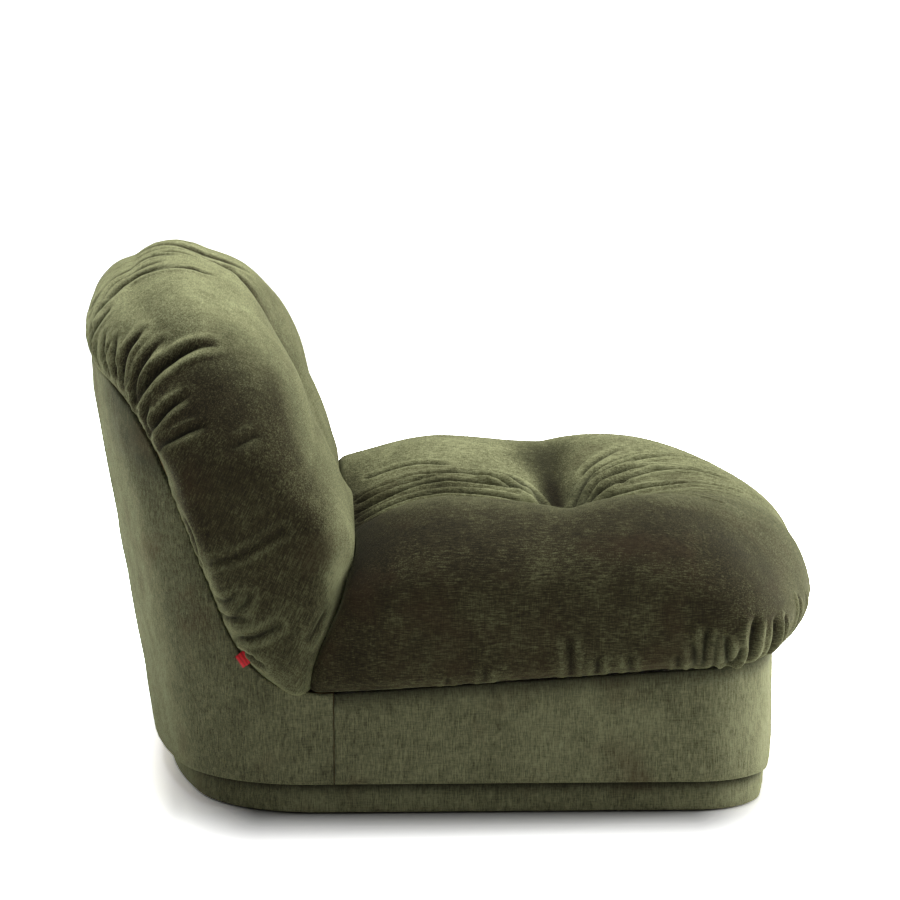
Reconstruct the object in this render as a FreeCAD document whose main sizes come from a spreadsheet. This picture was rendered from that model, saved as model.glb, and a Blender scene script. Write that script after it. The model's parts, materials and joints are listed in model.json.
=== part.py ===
import FreeCAD, Part
import math
import os
import re

import Sketcher
from FreeCAD import Placement, Rotation, Vector

# Lounge chair without arms: a tufted seat cushion and a tufted back cushion on an upholstered base and plinth.
# The sitter faces -Y, X is the width and Z is up. The origin is on the floor under the middle of the chair.

doc = FreeCAD.newDocument("lounge_chair")
sizes = doc.addObject("Spreadsheet::Sheet", "sizes")
places = doc.addObject("Spreadsheet::Sheet", "places")

# Driving dimensions in millimetres
SIZES = {
    # Outline of the base seen from above
    "base_width": 810,
    "base_front": 450,
    "base_rear": 407.5,
    "front_corner_radius": 100,
    "front_bow_radius": 2000,
    "rear_corner_radius": 180,
    "rear_bow_radius": 900,
    # Heights
    "glide_height": 4,
    "plinth_height": 38,
    "base_height": 122,
    "shell_height": 572,
    "seat_height": 400,
    "chair_height": 719,
    # Layers of the upholstery
    "cover_thickness": 2,
    "padding_thickness": 6,
    "facing_thickness": 3,
    "layer_gap": 0.3,
    # Plinth
    "plinth_inset": 10,
    "plinth_rear_setback": 18,
    "plinth_padding_thickness": 4,
    "plinth_ring_width": 70,
    "hem_width": 22,
    "dust_cover_thickness": 0.6,
    "dust_cover_lap": 8,
    "glide_radius": 15,
    "glide_bevel": 1.5,
    "glide_front_x": 325,
    "glide_front_y": 365,
    "glide_rear_x": 288,
    "glide_rear_y": 279,
    # Screws
    "screw_radius": 2,
    "screw_head_radius": 4,
    "screw_head_height": 2.4,
    "screw_tip": 4,
    "screw_recess": 0.8,
    "glide_screw_length": 16,
    "plinth_screw_length": 30,
    "plinth_screw_front_y": 388,
    "plinth_screw_rear_y": 345,
    "plinth_screw_end_x": 150,
    "plinth_screw_side_x": 343,
    "plinth_screw_side_y": 120,
    # Seat frame
    "ring_thickness": 18,
    "ring_width": 60,
    "rail_thickness": 20,
    "front_rail_inner_y": 398,
    "centre_rail_height": 40,
    "spring_recess": 22,
    "front_post_x": 300,
    "front_post_y": 330,
    "spring_rail_y": 195,
    "rear_rail_y": 300,
    "shell_front_y": 157.5,
    "deck_rise": 38,
    # Springs and deck
    "wire_radius": 1.9,
    "spring_pitch": 28,
    "spring_width": 50,
    "spring_spacing": 112,
    "spring_pairs": 3,
    "clip_length": 12,
    "clip_height": 8,
    "clip_width": 22,
    "clip_setback": 30,
    "deck_cloth_thickness": 1.2,
    # Back frame
    "panel_thickness": 22,
    "panel_x": 240,
    "panel_rear_inset": 14,
    "rib_thickness": 15,
    "rib_width": 70,
    "rib_lower_z": 146,
    "rib_middle_z": 290,
    "rib_upper_z": 425,
    "top_rail_low_z": 505,
    "top_rail_high_z": 562,
    "strap_width": 50,
    "strap_thickness": 2,
    "strap_count": 3,
    # Bolts and barrel nuts that hold the back frame's uprights to the spring rail
    "bolt_radius": 3,
    "bolt_length": 62,
    "bolt_head_radius": 6,
    "bolt_head_height": 3,
    "bolt_low_z": 80,
    "bolt_high_z": 118,
    "nut_radius": 5,
    "nut_length": 18,
    "nut_setback": 14,
    "washer_radius": 9,
    "washer_thickness": 1.5,
    # Cushions
    "cushion_width": 860,
    "seat_front": 491.5,
    "seat_rear": 168,
    "seam_foot_y": 178,
    "seat_tuft_y": 165,
    "seat_tuft_depth": 76,
    "seat_crease_depth": 45,
    "seat_corner_setback": 45,
    "back_reach": 491.5,
    "back_tuft_depth": 72,
    "back_crease_depth": 20,
    "core_gap": 0.4,
    "seat_core_height": 105,
    "back_core_share": 0.42,
    "twine_radius": 1.2,
    "anchor_radius": 14,
    "anchor_thickness": 3,
    # Blank red tab sewn into the side seam
    "tab_length": 20,
    "tab_width": 14,
    "tab_thickness": 1,
    "tab_z": 207,
    # Cutting tools run past what they cut by this much
    "overrun": 60,
}

# Places that follow from the driving dimensions
PLACES = {
    "plinth_high": "glide_height + plinth_height",
    "plinth_ring_thickness": "plinth_height / 2",
    "base_low": "plinth_high + layer_gap",
    "base_high": "base_low + base_height",
    "low_ring_high": "base_low + ring_thickness",
    "top_ring_high": "base_high - spring_recess",
    "top_ring_low": "top_ring_high - ring_thickness",
    "frame_inset": "cover_thickness + padding_thickness + facing_thickness + 3 * layer_gap",
    "frame_half_width": "base_width / 2 - frame_inset",
    "rail_inside": "frame_half_width - rail_thickness",
    "panel_outside": "panel_x + panel_thickness",
    "panel_middle": "panel_x + panel_thickness / 2",
    "ring_front": "base_front - frame_inset",
    "plinth_ring_inset": "plinth_inset + cover_thickness + plinth_padding_thickness + 2 * layer_gap",
    "spring_front_y": "ring_front - clip_setback",
    "cloth_low": "top_ring_high + clip_height + layer_gap",
    "cloth_high": "cloth_low + deck_cloth_thickness",
    "pad_low": "cloth_high + layer_gap",
    "seat_low": "base_high + layer_gap",
    "spring_rail_rear": "spring_rail_y + rail_thickness",
    "strap_room": "strap_thickness + 3 * layer_gap",
}


def formula(text):
    """Write a formula in the names of the two sheets."""

    def full(match):
        word = match.group()
        if word in SIZES:
            return "sizes." + word
        return "places." + word if word in PLACES else word

    return re.sub(r"[a-z][a-z_]*", full, text)


for row, (alias, number) in enumerate(SIZES.items(), start=1):
    sizes.set(f"A{row}", alias)
    sizes.set(f"B{row}", str(number))
    sizes.setAlias(f"B{row}", alias)
doc.recompute()
for row, (alias, text) in enumerate(PLACES.items(), start=1):
    places.set(f"A{row}", alias)
    places.set(f"B{row}", "=" + formula(text))
    places.setAlias(f"B{row}", alias)
doc.recompute()


def size(alias):
    """Read one value from the sheets."""
    return float((sizes if alias in SIZES else places).get(alias))


GAP = size("layer_gap")
OVERRUN = size("overrun")
parts = {}


# Helpers for the document's objects


def keep(label, thing):
    """Name an object as a piece of the chair."""
    thing.Label = label
    parts[label] = thing
    return thing


def bind(thing, **formulas):
    for name, text in formulas.items():
        thing.setExpression(name.replace("__", "."), formula(text))
    return thing


def board(name, across, along, up):
    """A box from three pairs of formulas: its least and its greatest x, y and z."""
    thing = doc.addObject("Part::Box", name)
    for side, axis, (least, greatest) in zip(
        ("Length", "Width", "Height"), "xyz", (across, along, up)
    ):
        thing.setExpression(side, formula(f"({greatest}) - ({least})"))
        thing.setExpression(f"Placement.Base.{axis}", formula(least))
    return thing


def rod(name, radius, length, x, y, z, turn=None):
    """A cylinder along Z, or along the axis that the turn brings it to."""
    thing = doc.addObject("Part::Cylinder", name)
    if turn:
        thing.Placement = Placement(Vector(), turn)
    bind(thing, Radius=radius, Height=length)
    bind(thing, Placement__Base__x=x, Placement__Base__y=y, Placement__Base__z=z)
    return thing


def join(kind, name, base, tool):
    """A boolean of two objects: Part::Cut or Part::Common."""
    thing = doc.addObject(kind, name)
    thing.Base = base
    thing.Tool = tool
    return thing


def group(name, things):
    thing = doc.addObject("Part::Compound", name)
    thing.Links = things
    return thing


def form(name, shape):
    """An object whose shape is worked out here from the sizes in the sheet."""
    thing = doc.addObject("Part::Feature", name)
    thing.Shape = shape
    return thing


def turned(name, outline):
    """A body turned about Z from corners given as pairs of formulas: radius and height."""
    body = doc.addObject("PartDesign::Body", name)
    planes = {plane.Role: plane for plane in body.Origin.OriginFeatures}
    sketch = body.newObject("Sketcher::SketchObject", name + "_outline")
    sketch.AttachmentSupport = [(planes["XZ_Plane"], "")]
    sketch.MapMode = "FlatFace"
    corners = [
        Vector(measured(radius), measured(height), 0) for radius, height in outline
    ]
    count = len(corners)
    for here, there in zip(corners, corners[1:] + corners[:1]):
        sketch.addGeometry(Part.LineSegment(here, there), False)
    for i in range(count):
        sketch.addConstraint(Sketcher.Constraint("Coincident", i, 2, (i + 1) % count, 1))
    for i, (radius, height) in enumerate(outline):
        for kind, text, axis in (("DistanceX", radius, -2), ("DistanceY", height, -1)):
            if text == "0":
                sketch.addConstraint(Sketcher.Constraint("PointOnObject", i, 1, axis))
                continue
            at = corners[i].x if kind == "DistanceX" else corners[i].y
            number = sketch.addConstraint(Sketcher.Constraint(kind, -1, 1, i, 1, at))
            sketch.setExpression(f"Constraints[{number}]", formula(text))
    turn = body.newObject("PartDesign::Revolution", name + "_turn")
    turn.Profile = sketch
    turn.ReferenceAxis = (sketch, ["V_Axis"])
    turn.Angle = 360
    return body


def measured(text):
    """The value of a sum or difference of named sizes."""
    total, sign = 0.0, 1.0
    for word in text.split():
        if word in "+-":
            sign = 1.0 if word == "+" else -1.0
        else:
            total += sign * (0.0 if word == "0" else size(word))
    return total


def mirrored(shape):
    return shape.mirror(Vector(), Vector(1, 0, 0))


def prism_between(outer, inner, low, high):
    """A wall of constant height between two closed outlines at z = 0, or a plate with no inner one."""
    rise = Vector(0, 0, high - low)
    wall = Part.Face(outer).extrude(rise)
    if inner:
        wall = wall.cut(Part.Face(inner).extrude(rise))
    return wall.translated(Vector(0, 0, low))


# Outline of the base, seen from above: bowed front and rear, straight sides and round corners

HALF_WIDTH = size("base_width") / 2


def end_points(reach, corner_radius, bow_radius, inset):
    """Corner and bow of one end, as (side y, corner point, tangent point, bow point) at +X and +Y."""
    corner_x = HALF_WIDTH - corner_radius
    spread = bow_radius - corner_radius
    run = math.sqrt(spread**2 - corner_x**2)
    corner_y = reach - bow_radius + run
    tangent_x, tangent_y = corner_x / spread, run / spread
    tangent_angle = math.atan2(tangent_y, tangent_x)
    radius = corner_radius - inset
    middle = tangent_angle / 2
    return (
        Vector(HALF_WIDTH - inset, corner_y, 0),
        Vector(
            corner_x + radius * math.cos(middle), corner_y + radius * math.sin(middle), 0
        ),
        Vector(corner_x + radius * tangent_x, corner_y + radius * tangent_y, 0),
        Vector(0, reach - inset, 0),
    )


def plan_wire(inset, height=0.0, lean=0.0):
    """The base's outline drawn in by inset, at a height, with its rear moved back by lean."""
    rear = end_points(
        size("base_rear") + lean,
        size("rear_corner_radius"),
        size("rear_bow_radius"),
        inset,
    )
    front = end_points(
        size("base_front"), size("front_corner_radius"), size("front_bow_radius"), inset
    )

    def point(place, x_sign, y_sign):
        return Vector(place.x * x_sign, place.y * y_sign, height)

    def arc(a, b, c):
        return Part.Arc(a, b, c).toShape()

    rs, rc, rt, rb = (point(p, 1, 1) for p in rear)
    ls, lc, lt, _ = (point(p, -1, 1) for p in rear)
    fs, fc, ft, fb = (point(p, 1, -1) for p in front)
    gs, gc, gt, _ = (point(p, -1, -1) for p in front)
    return Part.Wire(
        [
            Part.LineSegment(fs, rs).toShape(),
            arc(rs, rc, rt),
            arc(rt, rb, lt),
            arc(lt, lc, ls),
            Part.LineSegment(ls, gs).toShape(),
            arc(gs, gc, gt),
            arc(gt, fb, ft),
            arc(ft, fc, fs),
        ]
    )


# The shell leans back as it rises: (share of its height, share of its lean)
LEAN_SHARES = ((0, 0), (0.167, 0.145), (0.904, 0.957), (1, 1))
SHELL_LEAN = size("back_reach") - size("base_rear") - size("cover_thickness")


def shell_space(inset):
    """The solid that fills the leaning shell and the base in front of it, drawn in by inset."""
    low, high = size("base_low"), size("shell_height")
    wires = [
        plan_wire(inset, low + share * (high - low), lean_share * SHELL_LEAN)
        for share, lean_share in LEAN_SHARES
    ]
    return Part.makeLoft(wires, True, False)


# Side profile of the joint between the shell and the back cushion, as (y, z) in named sizes and shares.
# A share of depth is of the way from the seam's front end to its rear end, a share of rise is of its height.

SEAM_FOOT_Y = size("seam_foot_y")
SEAM_REAR_Y = SHELL_LEAN + size("base_rear")


def seam_point(depth_share, rise_share):
    low = size("base_high")
    return (
        SEAM_FOOT_Y + depth_share * (SEAM_REAR_Y - SEAM_FOOT_Y),
        low + rise_share * (size("shell_height") - low),
    )


# Each row is a point, or a point to pass through on an arc and the arc's end
SEAM_SHARES = (
    (None, (0, 0)),
    ((0.275, 0.079), (0.39, 0.203)),
    (None, (0.62, 0.654)),
    ((0.79, 0.904), (1, 1)),
)


def profile_wire(rows, x):
    """A closed side profile at x from rows of (via or None, end), each point as (y, z)."""
    edges = []
    here = rows[-1][1]
    for via, there in rows:
        a, b = Vector(x, *here), Vector(x, *there)
        if via is None:
            edges.append(Part.LineSegment(a, b).toShape())
        else:
            edges.append(Part.Arc(a, Vector(x, *via), b).toShape())
        here = there
    return Part.Wire(edges)


# The least cosine that a corner's mitre is divided by
LEAST_MITRE_SHARE = 0.45


def drawn_in(rows, inset):
    """The same closed profile moved inwards by inset, point by point."""
    if not inset:
        return rows
    chain = []
    for index, (via, end) in enumerate(rows):
        if via is not None:
            chain.append((index, 0, via))
        chain.append((index, 1, end))
    area = sum(
        a[2][0] * b[2][1] - b[2][0] * a[2][1]
        for a, b in zip(chain, chain[1:] + chain[:1])
    )
    turn = 1 if area > 0 else -1
    moved = {}
    count = len(chain)
    for i, (index, kind, (y, z)) in enumerate(chain):
        (y0, z0), (y1, z1) = chain[i - 1][2], chain[(i + 1) % count][2]
        before = math.atan2(z - z0, y - y0)
        after = math.atan2(z1 - z, y1 - y)
        bend = (after - before + math.pi) % math.tau - math.pi
        middle = before + bend / 2 + turn * math.pi / 2
        reach = inset / max(math.cos(bend / 2), LEAST_MITRE_SHARE)
        moved[index, kind] = (y + reach * math.cos(middle), z + reach * math.sin(middle))
    return [
        (moved[i, 0] if via is not None else None, moved[i, 1])
        for i, (via, _) in enumerate(rows)
    ]


def side_prism(rows, half_width):
    """A closed side profile run straight across the chair."""
    face = Part.Face(profile_wire(rows, -half_width))
    return face.extrude(Vector(2 * half_width, 0, 0))


def behind_seam(inset, front_y, front_z):
    """All that lies behind the seam, drawn in by inset, from a front edge down to the floor."""
    far_y = SEAM_REAR_Y + OVERRUN
    seam = [
        (seam_point(*via) if via else None, seam_point(*end)) for via, end in SEAM_SHARES
    ]
    rows = [
        (None, (front_y - inset, front_z)),
        *seam,
        (None, (far_y, size("shell_height"))),
        (None, (far_y, -OVERRUN)),
        (None, (front_y - inset, -OVERRUN)),
    ]
    return side_prism(drawn_in(rows, inset), HALF_WIDTH + OVERRUN)


# Cushion forms: side profiles that change across the chair, lofted from the middle to one side


def cushion_half(stations, inset):
    """Loft one half from rows of (share of the half width, closed side profile)."""
    wires = []
    for x_share, rows in stations:
        x = x_share * size("cushion_width") / 2
        if x_share == 1:
            x -= inset
        wires.append(profile_wire(drawn_in(rows, inset), x))
    return Part.makeLoft(wires, True, False)


def whole(half):
    return half.fuse(mirrored(half)).removeSplitter()


def scaled_rows(rows, centre, y_share, z_share):
    def move(point):
        return (
            centre[0] + (point[0] - centre[0]) * y_share,
            centre[1] + (point[1] - centre[1]) * z_share,
        )

    return [(move(via) if via else None, move(end)) for via, end in rows]


# Seat cushion: shares of its length from front to rear and of its height from the base up

SEAT_LOW = size("seat_low")
SEAT_LENGTH = size("seat_front") + size("seat_rear")
SEAT_RISE = size("seat_height") - SEAT_LOW
SEAT_TUFT_SHARE = (size("seat_front") - size("seat_tuft_y")) / SEAT_LENGTH
SEAT_EDGE_SHARE = 0.09


def deck_height(y):
    """The top of the base rises from the side seams to the front edge."""
    run = size("shell_front_y") + size("base_front")
    rise = size("deck_rise") * (size("shell_front_y") - y) / run
    return size("base_high") + rise


seat_edge = deck_height(SEAT_EDGE_SHARE * SEAT_LENGTH - size("seat_front"))
SEAT_EDGE_RISE_SHARE = (seat_edge - size("base_high")) / SEAT_RISE
SEAT_SHARES = (
    (None, (1, 0)),
    (None, (1, 0.76)),
    ((0.87, 0.924), (0.733, 0.992)),
    ((0.61, 0.97), (SEAT_TUFT_SHARE, 0.949)),
    ((0.37, 0.992), (0.245, 0.975)),
    ((0.165, 0.924), (0.098, 0.839)),
    ((0.03, 0.65), (0, 0.42)),
    ((0.024, SEAT_EDGE_RISE_SHARE + 0.08), (SEAT_EDGE_SHARE, SEAT_EDGE_RISE_SHARE)),
)
# How far each of those points, and the one before it on its arc, sinks at the tuft and along the crease,
# and how far it draws back at the front corners
SEAT_TUFT_DIP_SHARES = (
    (0, 0),
    (0, 0),
    (0, 0),
    (0.12, 1),
    (0.1, 0),
    (0, 0),
    (0, 0),
    (0, 0),
)
SEAT_CREASE_DIP_SHARES = (
    (0, 0),
    (0, 0.9),
    (1, 1),
    (1, 0),
    (1, 0.65),
    (0.42, 0.25),
    (0.08, 0),
    (0, 0),
)
SEAT_SETBACK_SHARES = (
    (0, 0),
    (0, 0),
    (0, 0),
    (0, 0),
    (0.35, 0.75),
    (0.95, 1),
    (0.8, 0.45),
    (0.2, 0.1),
)
# Across the seat: (share of the half width, share of length, share of height, tuft share, crease share, setback share)
SEAT_STATION_SHARES = (
    (0, 1, 1, 1, 1, 0),
    (0.12, 1, 1, 0.66, 0.84, 0),
    (0.27, 1, 1, 0.45, 0.53, 0.1),
    (0.41, 0.997, 1, 0.28, 0.24, 0.4),
    (0.54, 0.99, 1, 0.13, 0.04, 0.75),
    (0.68, 0.975, 0.965, 0.02, 0, 1),
    (0.82, 0.94, 0.86, 0, 0, 0.8),
    (0.92, 0.895, 0.7, 0, 0, 0.5),
    (0.98, 0.84, 0.5, 0, 0, 0.2),
    (1, 0.78, 0.34, 0, 0, 0),
)
SEAT_BULGE_SHARE = 0.42


def seat_point(length_share, rise_share):
    return (
        -size("seat_front") + length_share * SEAT_LENGTH,
        SEAT_LOW + rise_share * SEAT_RISE,
    )


def seat_station(length_share, rise_share, tuft_share, crease_share, setback_share):
    """The closed side profile at one place across the seat."""
    deep = tuft_share * size("seat_tuft_depth")
    shallow = crease_share * size("seat_crease_depth")
    setback = setback_share * size("seat_corner_setback")

    def move(shares, dip, crease, back):
        if shares is None:
            return None
        y, z = seat_point(*shares)
        return (y + back * setback, z - dip * deep - crease * shallow)

    rows = [
        tuple(map(move, row, *moves))
        for row, *moves in zip(
            SEAT_SHARES,
            SEAT_TUFT_DIP_SHARES,
            SEAT_CREASE_DIP_SHARES,
            SEAT_SETBACK_SHARES,
        )
    ]
    centre = seat_point(1, SEAT_BULGE_SHARE)
    return scaled_rows(rows, centre, length_share, rise_share)


def seat_form(inset):
    stations = [(row[0], seat_station(*row[1:])) for row in SEAT_STATION_SHARES]
    return whole(cushion_half(stations, inset))


# Back cushion: its front from the seat up, over the top and down to the shell, then back along the seam

BACK_LOW = size("base_high")
BACK_RISE = size("chair_height") - BACK_LOW
BACK_DEPTH = size("back_reach") - SEAM_FOOT_Y


def back_point(depth_share, rise_share):
    return (
        SEAM_FOOT_Y + depth_share * BACK_DEPTH,
        BACK_LOW + rise_share * BACK_RISE,
    )


BACK_FRONT_SHARES = (
    ((-0.135, 0.21), (-0.163, 0.354)),
    ((-0.095, 0.49), (0.02, 0.622)),
    ((0.105, 0.732), (0.18, 0.818)),
    ((0.31, 0.913), (0.5, 0.972)),
    ((0.655, 0.994), (0.8, 0.953)),
    ((0.955, 0.895), (1, 0.806)),
)
# How far those points are drawn back at the tuft, and sink along the crease
BACK_TUFT_DIP_SHARES = ((0, 0), (0.42, 1), (0.42, 0.1), (0, 0), (0, 0), (0, 0))
BACK_CREASE_BACK_SHARES = ((0, 0), (0.5, 0), (0.6, 0.9), (0.4, 0), (0, 0), (0, 0))
BACK_CREASE_DIP_SHARES = ((0, 0), (0.1, 0), (0.4, 0.5), (0.8, 0.6), (0.5, 0.4), (0.1, 0))
# Across the back: (share of the half width, share of depth, share of height, share of the seam's upper arc,
# share of the whole section, tuft share, crease share)
BACK_STATION_SHARES = (
    (0, 1, 0.995, 1, 1, 1, 1),
    (0.09, 1, 1, 1, 1, 0.66, 0.62),
    (0.24, 1, 0.978, 0.97, 1, 0.25, 0.35),
    (0.47, 0.955, 0.915, 0.88, 1, 0.03, 0),
    (0.74, 0.81, 0.79, 0.57, 1, 0, 0),
    (0.9, 0.7, 0.6, 0.22, 0.96, 0, 0),
    (0.975, 0.66, 0.5, 0.15, 0.83, 0, 0),
    (1, 0.64, 0.45, 0.15, 0.6, 0, 0),
)
BACK_CENTRE_SHARES = (0.28, 0.38)


def back_rows(arc_share):
    """The closed side profile, whose seam stops part of the way along its upper arc."""
    front = [(back_point(*via), back_point(*end)) for via, end in BACK_FRONT_SHARES]
    foot, bend, straight, rear = (
        (seam_point(*via) if via else None, seam_point(*end)) for via, end in SEAM_SHARES
    )
    arc = Part.Arc(Vector(*straight[1]), Vector(*rear[0]), Vector(*rear[1]))
    spread = arc.LastParameter - arc.FirstParameter
    via, end = (
        arc.value(arc.FirstParameter + share * spread)
        for share in (arc_share / 2, arc_share)
    )
    down = [
        (None, (end.x, end.y)),
        ((via.x, via.y), straight[1]),
        (None, bend[1]),
        (bend[0], foot[1]),
    ]
    return front + down


def back_station(
    depth_share, rise_share, arc_share, whole_share, tuft_share, crease_share
):
    """The closed side profile at one place across the back."""
    foot = back_point(0, 0)
    contact = back_point(*BACK_FRONT_SHARES[0][1])
    front_count = len(BACK_FRONT_SHARES)

    shallow = crease_share * size("back_crease_depth")

    def move(point, dip, back, down):
        if point is None:
            return None
        y = point[0] + dip * tuft_share * size("back_tuft_depth") + back * shallow
        z = point[1] - down * shallow
        if y > foot[0]:
            y = foot[0] + (y - foot[0]) * depth_share
        if z > contact[1]:
            z = contact[1] + (z - contact[1]) * rise_share
        return (y, z)

    rows = back_rows(arc_share)
    moved = [
        tuple(map(move, row, *moves))
        for row, *moves in zip(
            rows[:front_count],
            BACK_TUFT_DIP_SHARES,
            BACK_CREASE_BACK_SHARES,
            BACK_CREASE_DIP_SHARES,
        )
    ]
    centre = back_point(*BACK_CENTRE_SHARES)
    return scaled_rows(moved + rows[front_count:], centre, whole_share, whole_share)


def back_contact(spread):
    """All behind the face that the seat cushion meets, moved forward by spread."""
    first, second = BACK_FRONT_SHARES[:2]
    far_y = back_point(1, 0)[0]
    rows = [
        (back_point(*first[0]), back_point(*first[1])),
        (back_point(*second[0]), back_point(*second[1])),
        (None, (far_y, back_point(*second[1])[1])),
        (None, (far_y, -OVERRUN)),
        (None, (SEAM_FOOT_Y, -OVERRUN)),
        (None, back_point(0, 0)),
    ]
    return side_prism(drawn_in(rows, -spread), size("cushion_width"))


def back_form(inset):
    """The back cushion, clear of the seam by one gap, drawn in by inset."""
    stations = [(row[0], back_station(*row[1:])) for row in BACK_STATION_SHARES]
    return whole(cushion_half(stations, inset + GAP))


def copies(name, thing, spots):
    """Copies of one finished object at a list of placements, as one group of solids."""
    shapes = []
    for spot in spots:
        shape = thing.Shape.copy()
        shape.Placement = spot.multiply(shape.Placement)
        shapes.append(shape)
    return form(name, Part.makeCompound(shapes))


def slab(low_y, high_y, low_z, high_z):
    """A box right across the chair."""
    reach = HALF_WIDTH + OVERRUN
    return Part.makeBox(
        2 * reach, high_y - low_y, high_z - low_z, Vector(-reach, low_y, low_z)
    )


REACH = size("seat_front") + OVERRUN
SHELL_FRONT = size("shell_front_y")
BOTH_SIDES = ((-1, "left"), (1, "right"))
DECK_TOP = deck_height(-REACH)


def under_deck(drop):
    """All that lies in front of the side seams and under the slope of the deck, lowered by drop."""
    rows = [
        (None, (SHELL_FRONT, size("base_high") - drop)),
        (None, (SHELL_FRONT, -OVERRUN)),
        (None, (-REACH, -OVERRUN)),
        (None, (-REACH, DECK_TOP - drop)),
    ]
    return side_prism(rows, HALF_WIDTH + OVERRUN)

# Plinth: two stacked plywood rings behind a soft strip and a fabric band, whose hem is folded under

glide_spots = [
    (f"{sign} * glide_{end}_x", f"{way} * glide_{end}_y", f"{end}_{side}", sign, way)
    for end, way in (("front", -1), ("rear", 1))
    for sign, side in BOTH_SIDES
]
screw_hole = "screw_radius + layer_gap"
head_hole = "screw_head_radius + layer_gap"
head_top = "screw_recess + screw_head_height + layer_gap"
for x, y, where, _, _ in glide_spots:
    glide = turned(
        "glide_" + where,
        [
            (head_hole, "0"),
            ("glide_radius - glide_bevel", "0"),
            ("glide_radius", "glide_bevel"),
            ("glide_radius", "glide_height"),
            (screw_hole, "glide_height"),
            (screw_hole, head_top),
            (head_hole, head_top),
        ],
    )
    bind(glide, Placement__Base__x=x, Placement__Base__y=y)
    keep("glide_" + where, glide)


def screw(name, length):
    """A wood screw that points up, with its head at the bottom."""
    return turned(
        name,
        [
            ("0", "0"),
            ("screw_head_radius", "0"),
            ("screw_head_radius", "screw_head_height"),
            ("screw_radius", "screw_head_height"),
            ("screw_radius", f"{length} - screw_tip"),
            ("0", length),
        ],
    )


glide_screw = screw("glide_screw", "glide_screw_length")
plinth_screw = screw("plinth_screw", "plinth_screw_length")
doc.recompute()

glide_points = [
    Vector(
        sign * size("glide_front_x" if way < 0 else "glide_rear_x"),
        way * size("glide_front_y" if way < 0 else "glide_rear_y"),
        size("screw_recess"),
    )
    for _, _, _, sign, way in glide_spots
]
keep(
    "glide_screws",
    copies("glide_screws", glide_screw, [Placement(p, Rotation()) for p in glide_points]),
)

ring_inset = size("plinth_ring_inset")
plinth_low, plinth_high = size("glide_height"), size("plinth_high")
ring_top = plinth_low + size("plinth_ring_thickness")
setback = -size("plinth_rear_setback")
ring_outline = plan_wire(ring_inset, lean=setback)
ring_opening = plan_wire(ring_inset + size("plinth_ring_width"), lean=setback)
lower_ring = form(
    "lower_ring_blank", prism_between(ring_outline, ring_opening, plinth_low, ring_top)
)
upper_ring = form(
    "upper_ring_blank", prism_between(ring_outline, ring_opening, ring_top, plinth_high)
)
glide_holes = [
    rod(
        "glide_hole_" + where,
        screw_hole,
        "glide_screw_length",
        x,
        y,
        "screw_recess + layer_gap",
    )
    for x, y, where, _, _ in glide_spots
]
keep(
    "plinth_lower_ring",
    join("Part::Cut", "plinth_lower_ring", lower_ring, group("glide_holes", glide_holes)),
)

plinth_screw_spots = [
    *((f"{s} * plinth_screw_end_x", "-plinth_screw_front_y") for s in (-1, 1)),
    *((f"{s} * plinth_screw_end_x", "plinth_screw_rear_y") for s in (-1, 1)),
    *(
        (f"{s} * plinth_screw_side_x", f"{t} * plinth_screw_side_y")
        for s in (-1, 1)
        for t in (-1, 0.5)
    ),
]
head_level = "low_ring_high - screw_recess"


def screw_holes(prefix):
    """Holes for the screws that tie the seat frame to the plinth, shank and head."""
    holes = []
    for number, (x, y) in enumerate(plinth_screw_spots):
        low = f"{head_level} - plinth_screw_length"
        name = f"{prefix}_{number}"
        holes.append(rod(name, screw_hole, "plinth_screw_length", x, y, low))
        sink = f"{head_level} - screw_head_height - layer_gap"
        holes.append(rod(name + "_head", head_hole, "overrun", x, y, sink))
    return group(prefix, holes)


keep(
    "plinth_upper_ring",
    join(
        "Part::Cut", "plinth_upper_ring", upper_ring, screw_holes("plinth_screw_holes")
    ),
)
doc.recompute()
head_down = Rotation(Vector(1, 0, 0), 180)
keep(
    "plinth_screws",
    copies(
        "plinth_screws",
        plinth_screw,
        [
            Placement(
                Vector(
                    hole.Placement.Base.x,
                    hole.Placement.Base.y,
                    size("low_ring_high") - size("screw_recess"),
                ),
                head_down,
            )
            for hole in doc.getObject("plinth_screw_holes").Links[::2]
        ],
    ),
)

band_low = plinth_low - size("cover_thickness")
band_outer = plan_wire(size("plinth_inset"), lean=setback)
band_inner_inset = size("plinth_inset") + size("cover_thickness")
band_inner = plan_wire(band_inner_inset, lean=setback)
band = prism_between(band_outer, band_inner, band_low, plinth_high)
hem = prism_between(
    band_outer,
    plan_wire(size("plinth_inset") + size("hem_width"), lean=setback),
    band_low,
    plinth_low - GAP,
)
keep("plinth_cover", form("plinth_cover", band.fuse(hem).removeSplitter()))
strip_outline = plan_wire(band_inner_inset + GAP, lean=setback)
strip_opening = plan_wire(ring_inset - GAP, lean=setback)
keep(
    "plinth_padding",
    form(
        "plinth_padding",
        prism_between(strip_outline, strip_opening, plinth_low, plinth_high),
    ),
)
dust_outline = plan_wire(
    ring_inset + size("plinth_ring_width") - size("dust_cover_lap"), lean=setback
)
keep(
    "dust_cover",
    form(
        "dust_cover",
        prism_between(
            dust_outline, None, plinth_low - size("dust_cover_thickness"), plinth_low
        ),
    ),
)

# Seat frame: a plywood ring at the bottom, rails and corner posts on it, and a ring around the springs

frame_inset = size("frame_inset")
ring_inner = frame_inset + size("ring_width")
base_low, base_high = size("base_low"), size("base_high")
low_ring = form(
    "low_ring_blank",
    prism_between(
        plan_wire(frame_inset), plan_wire(ring_inner), base_low, size("low_ring_high")
    ),
)
keep(
    "base_ring",
    join("Part::Cut", "base_ring", low_ring, screw_holes("base_screw_holes")),
)

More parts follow.
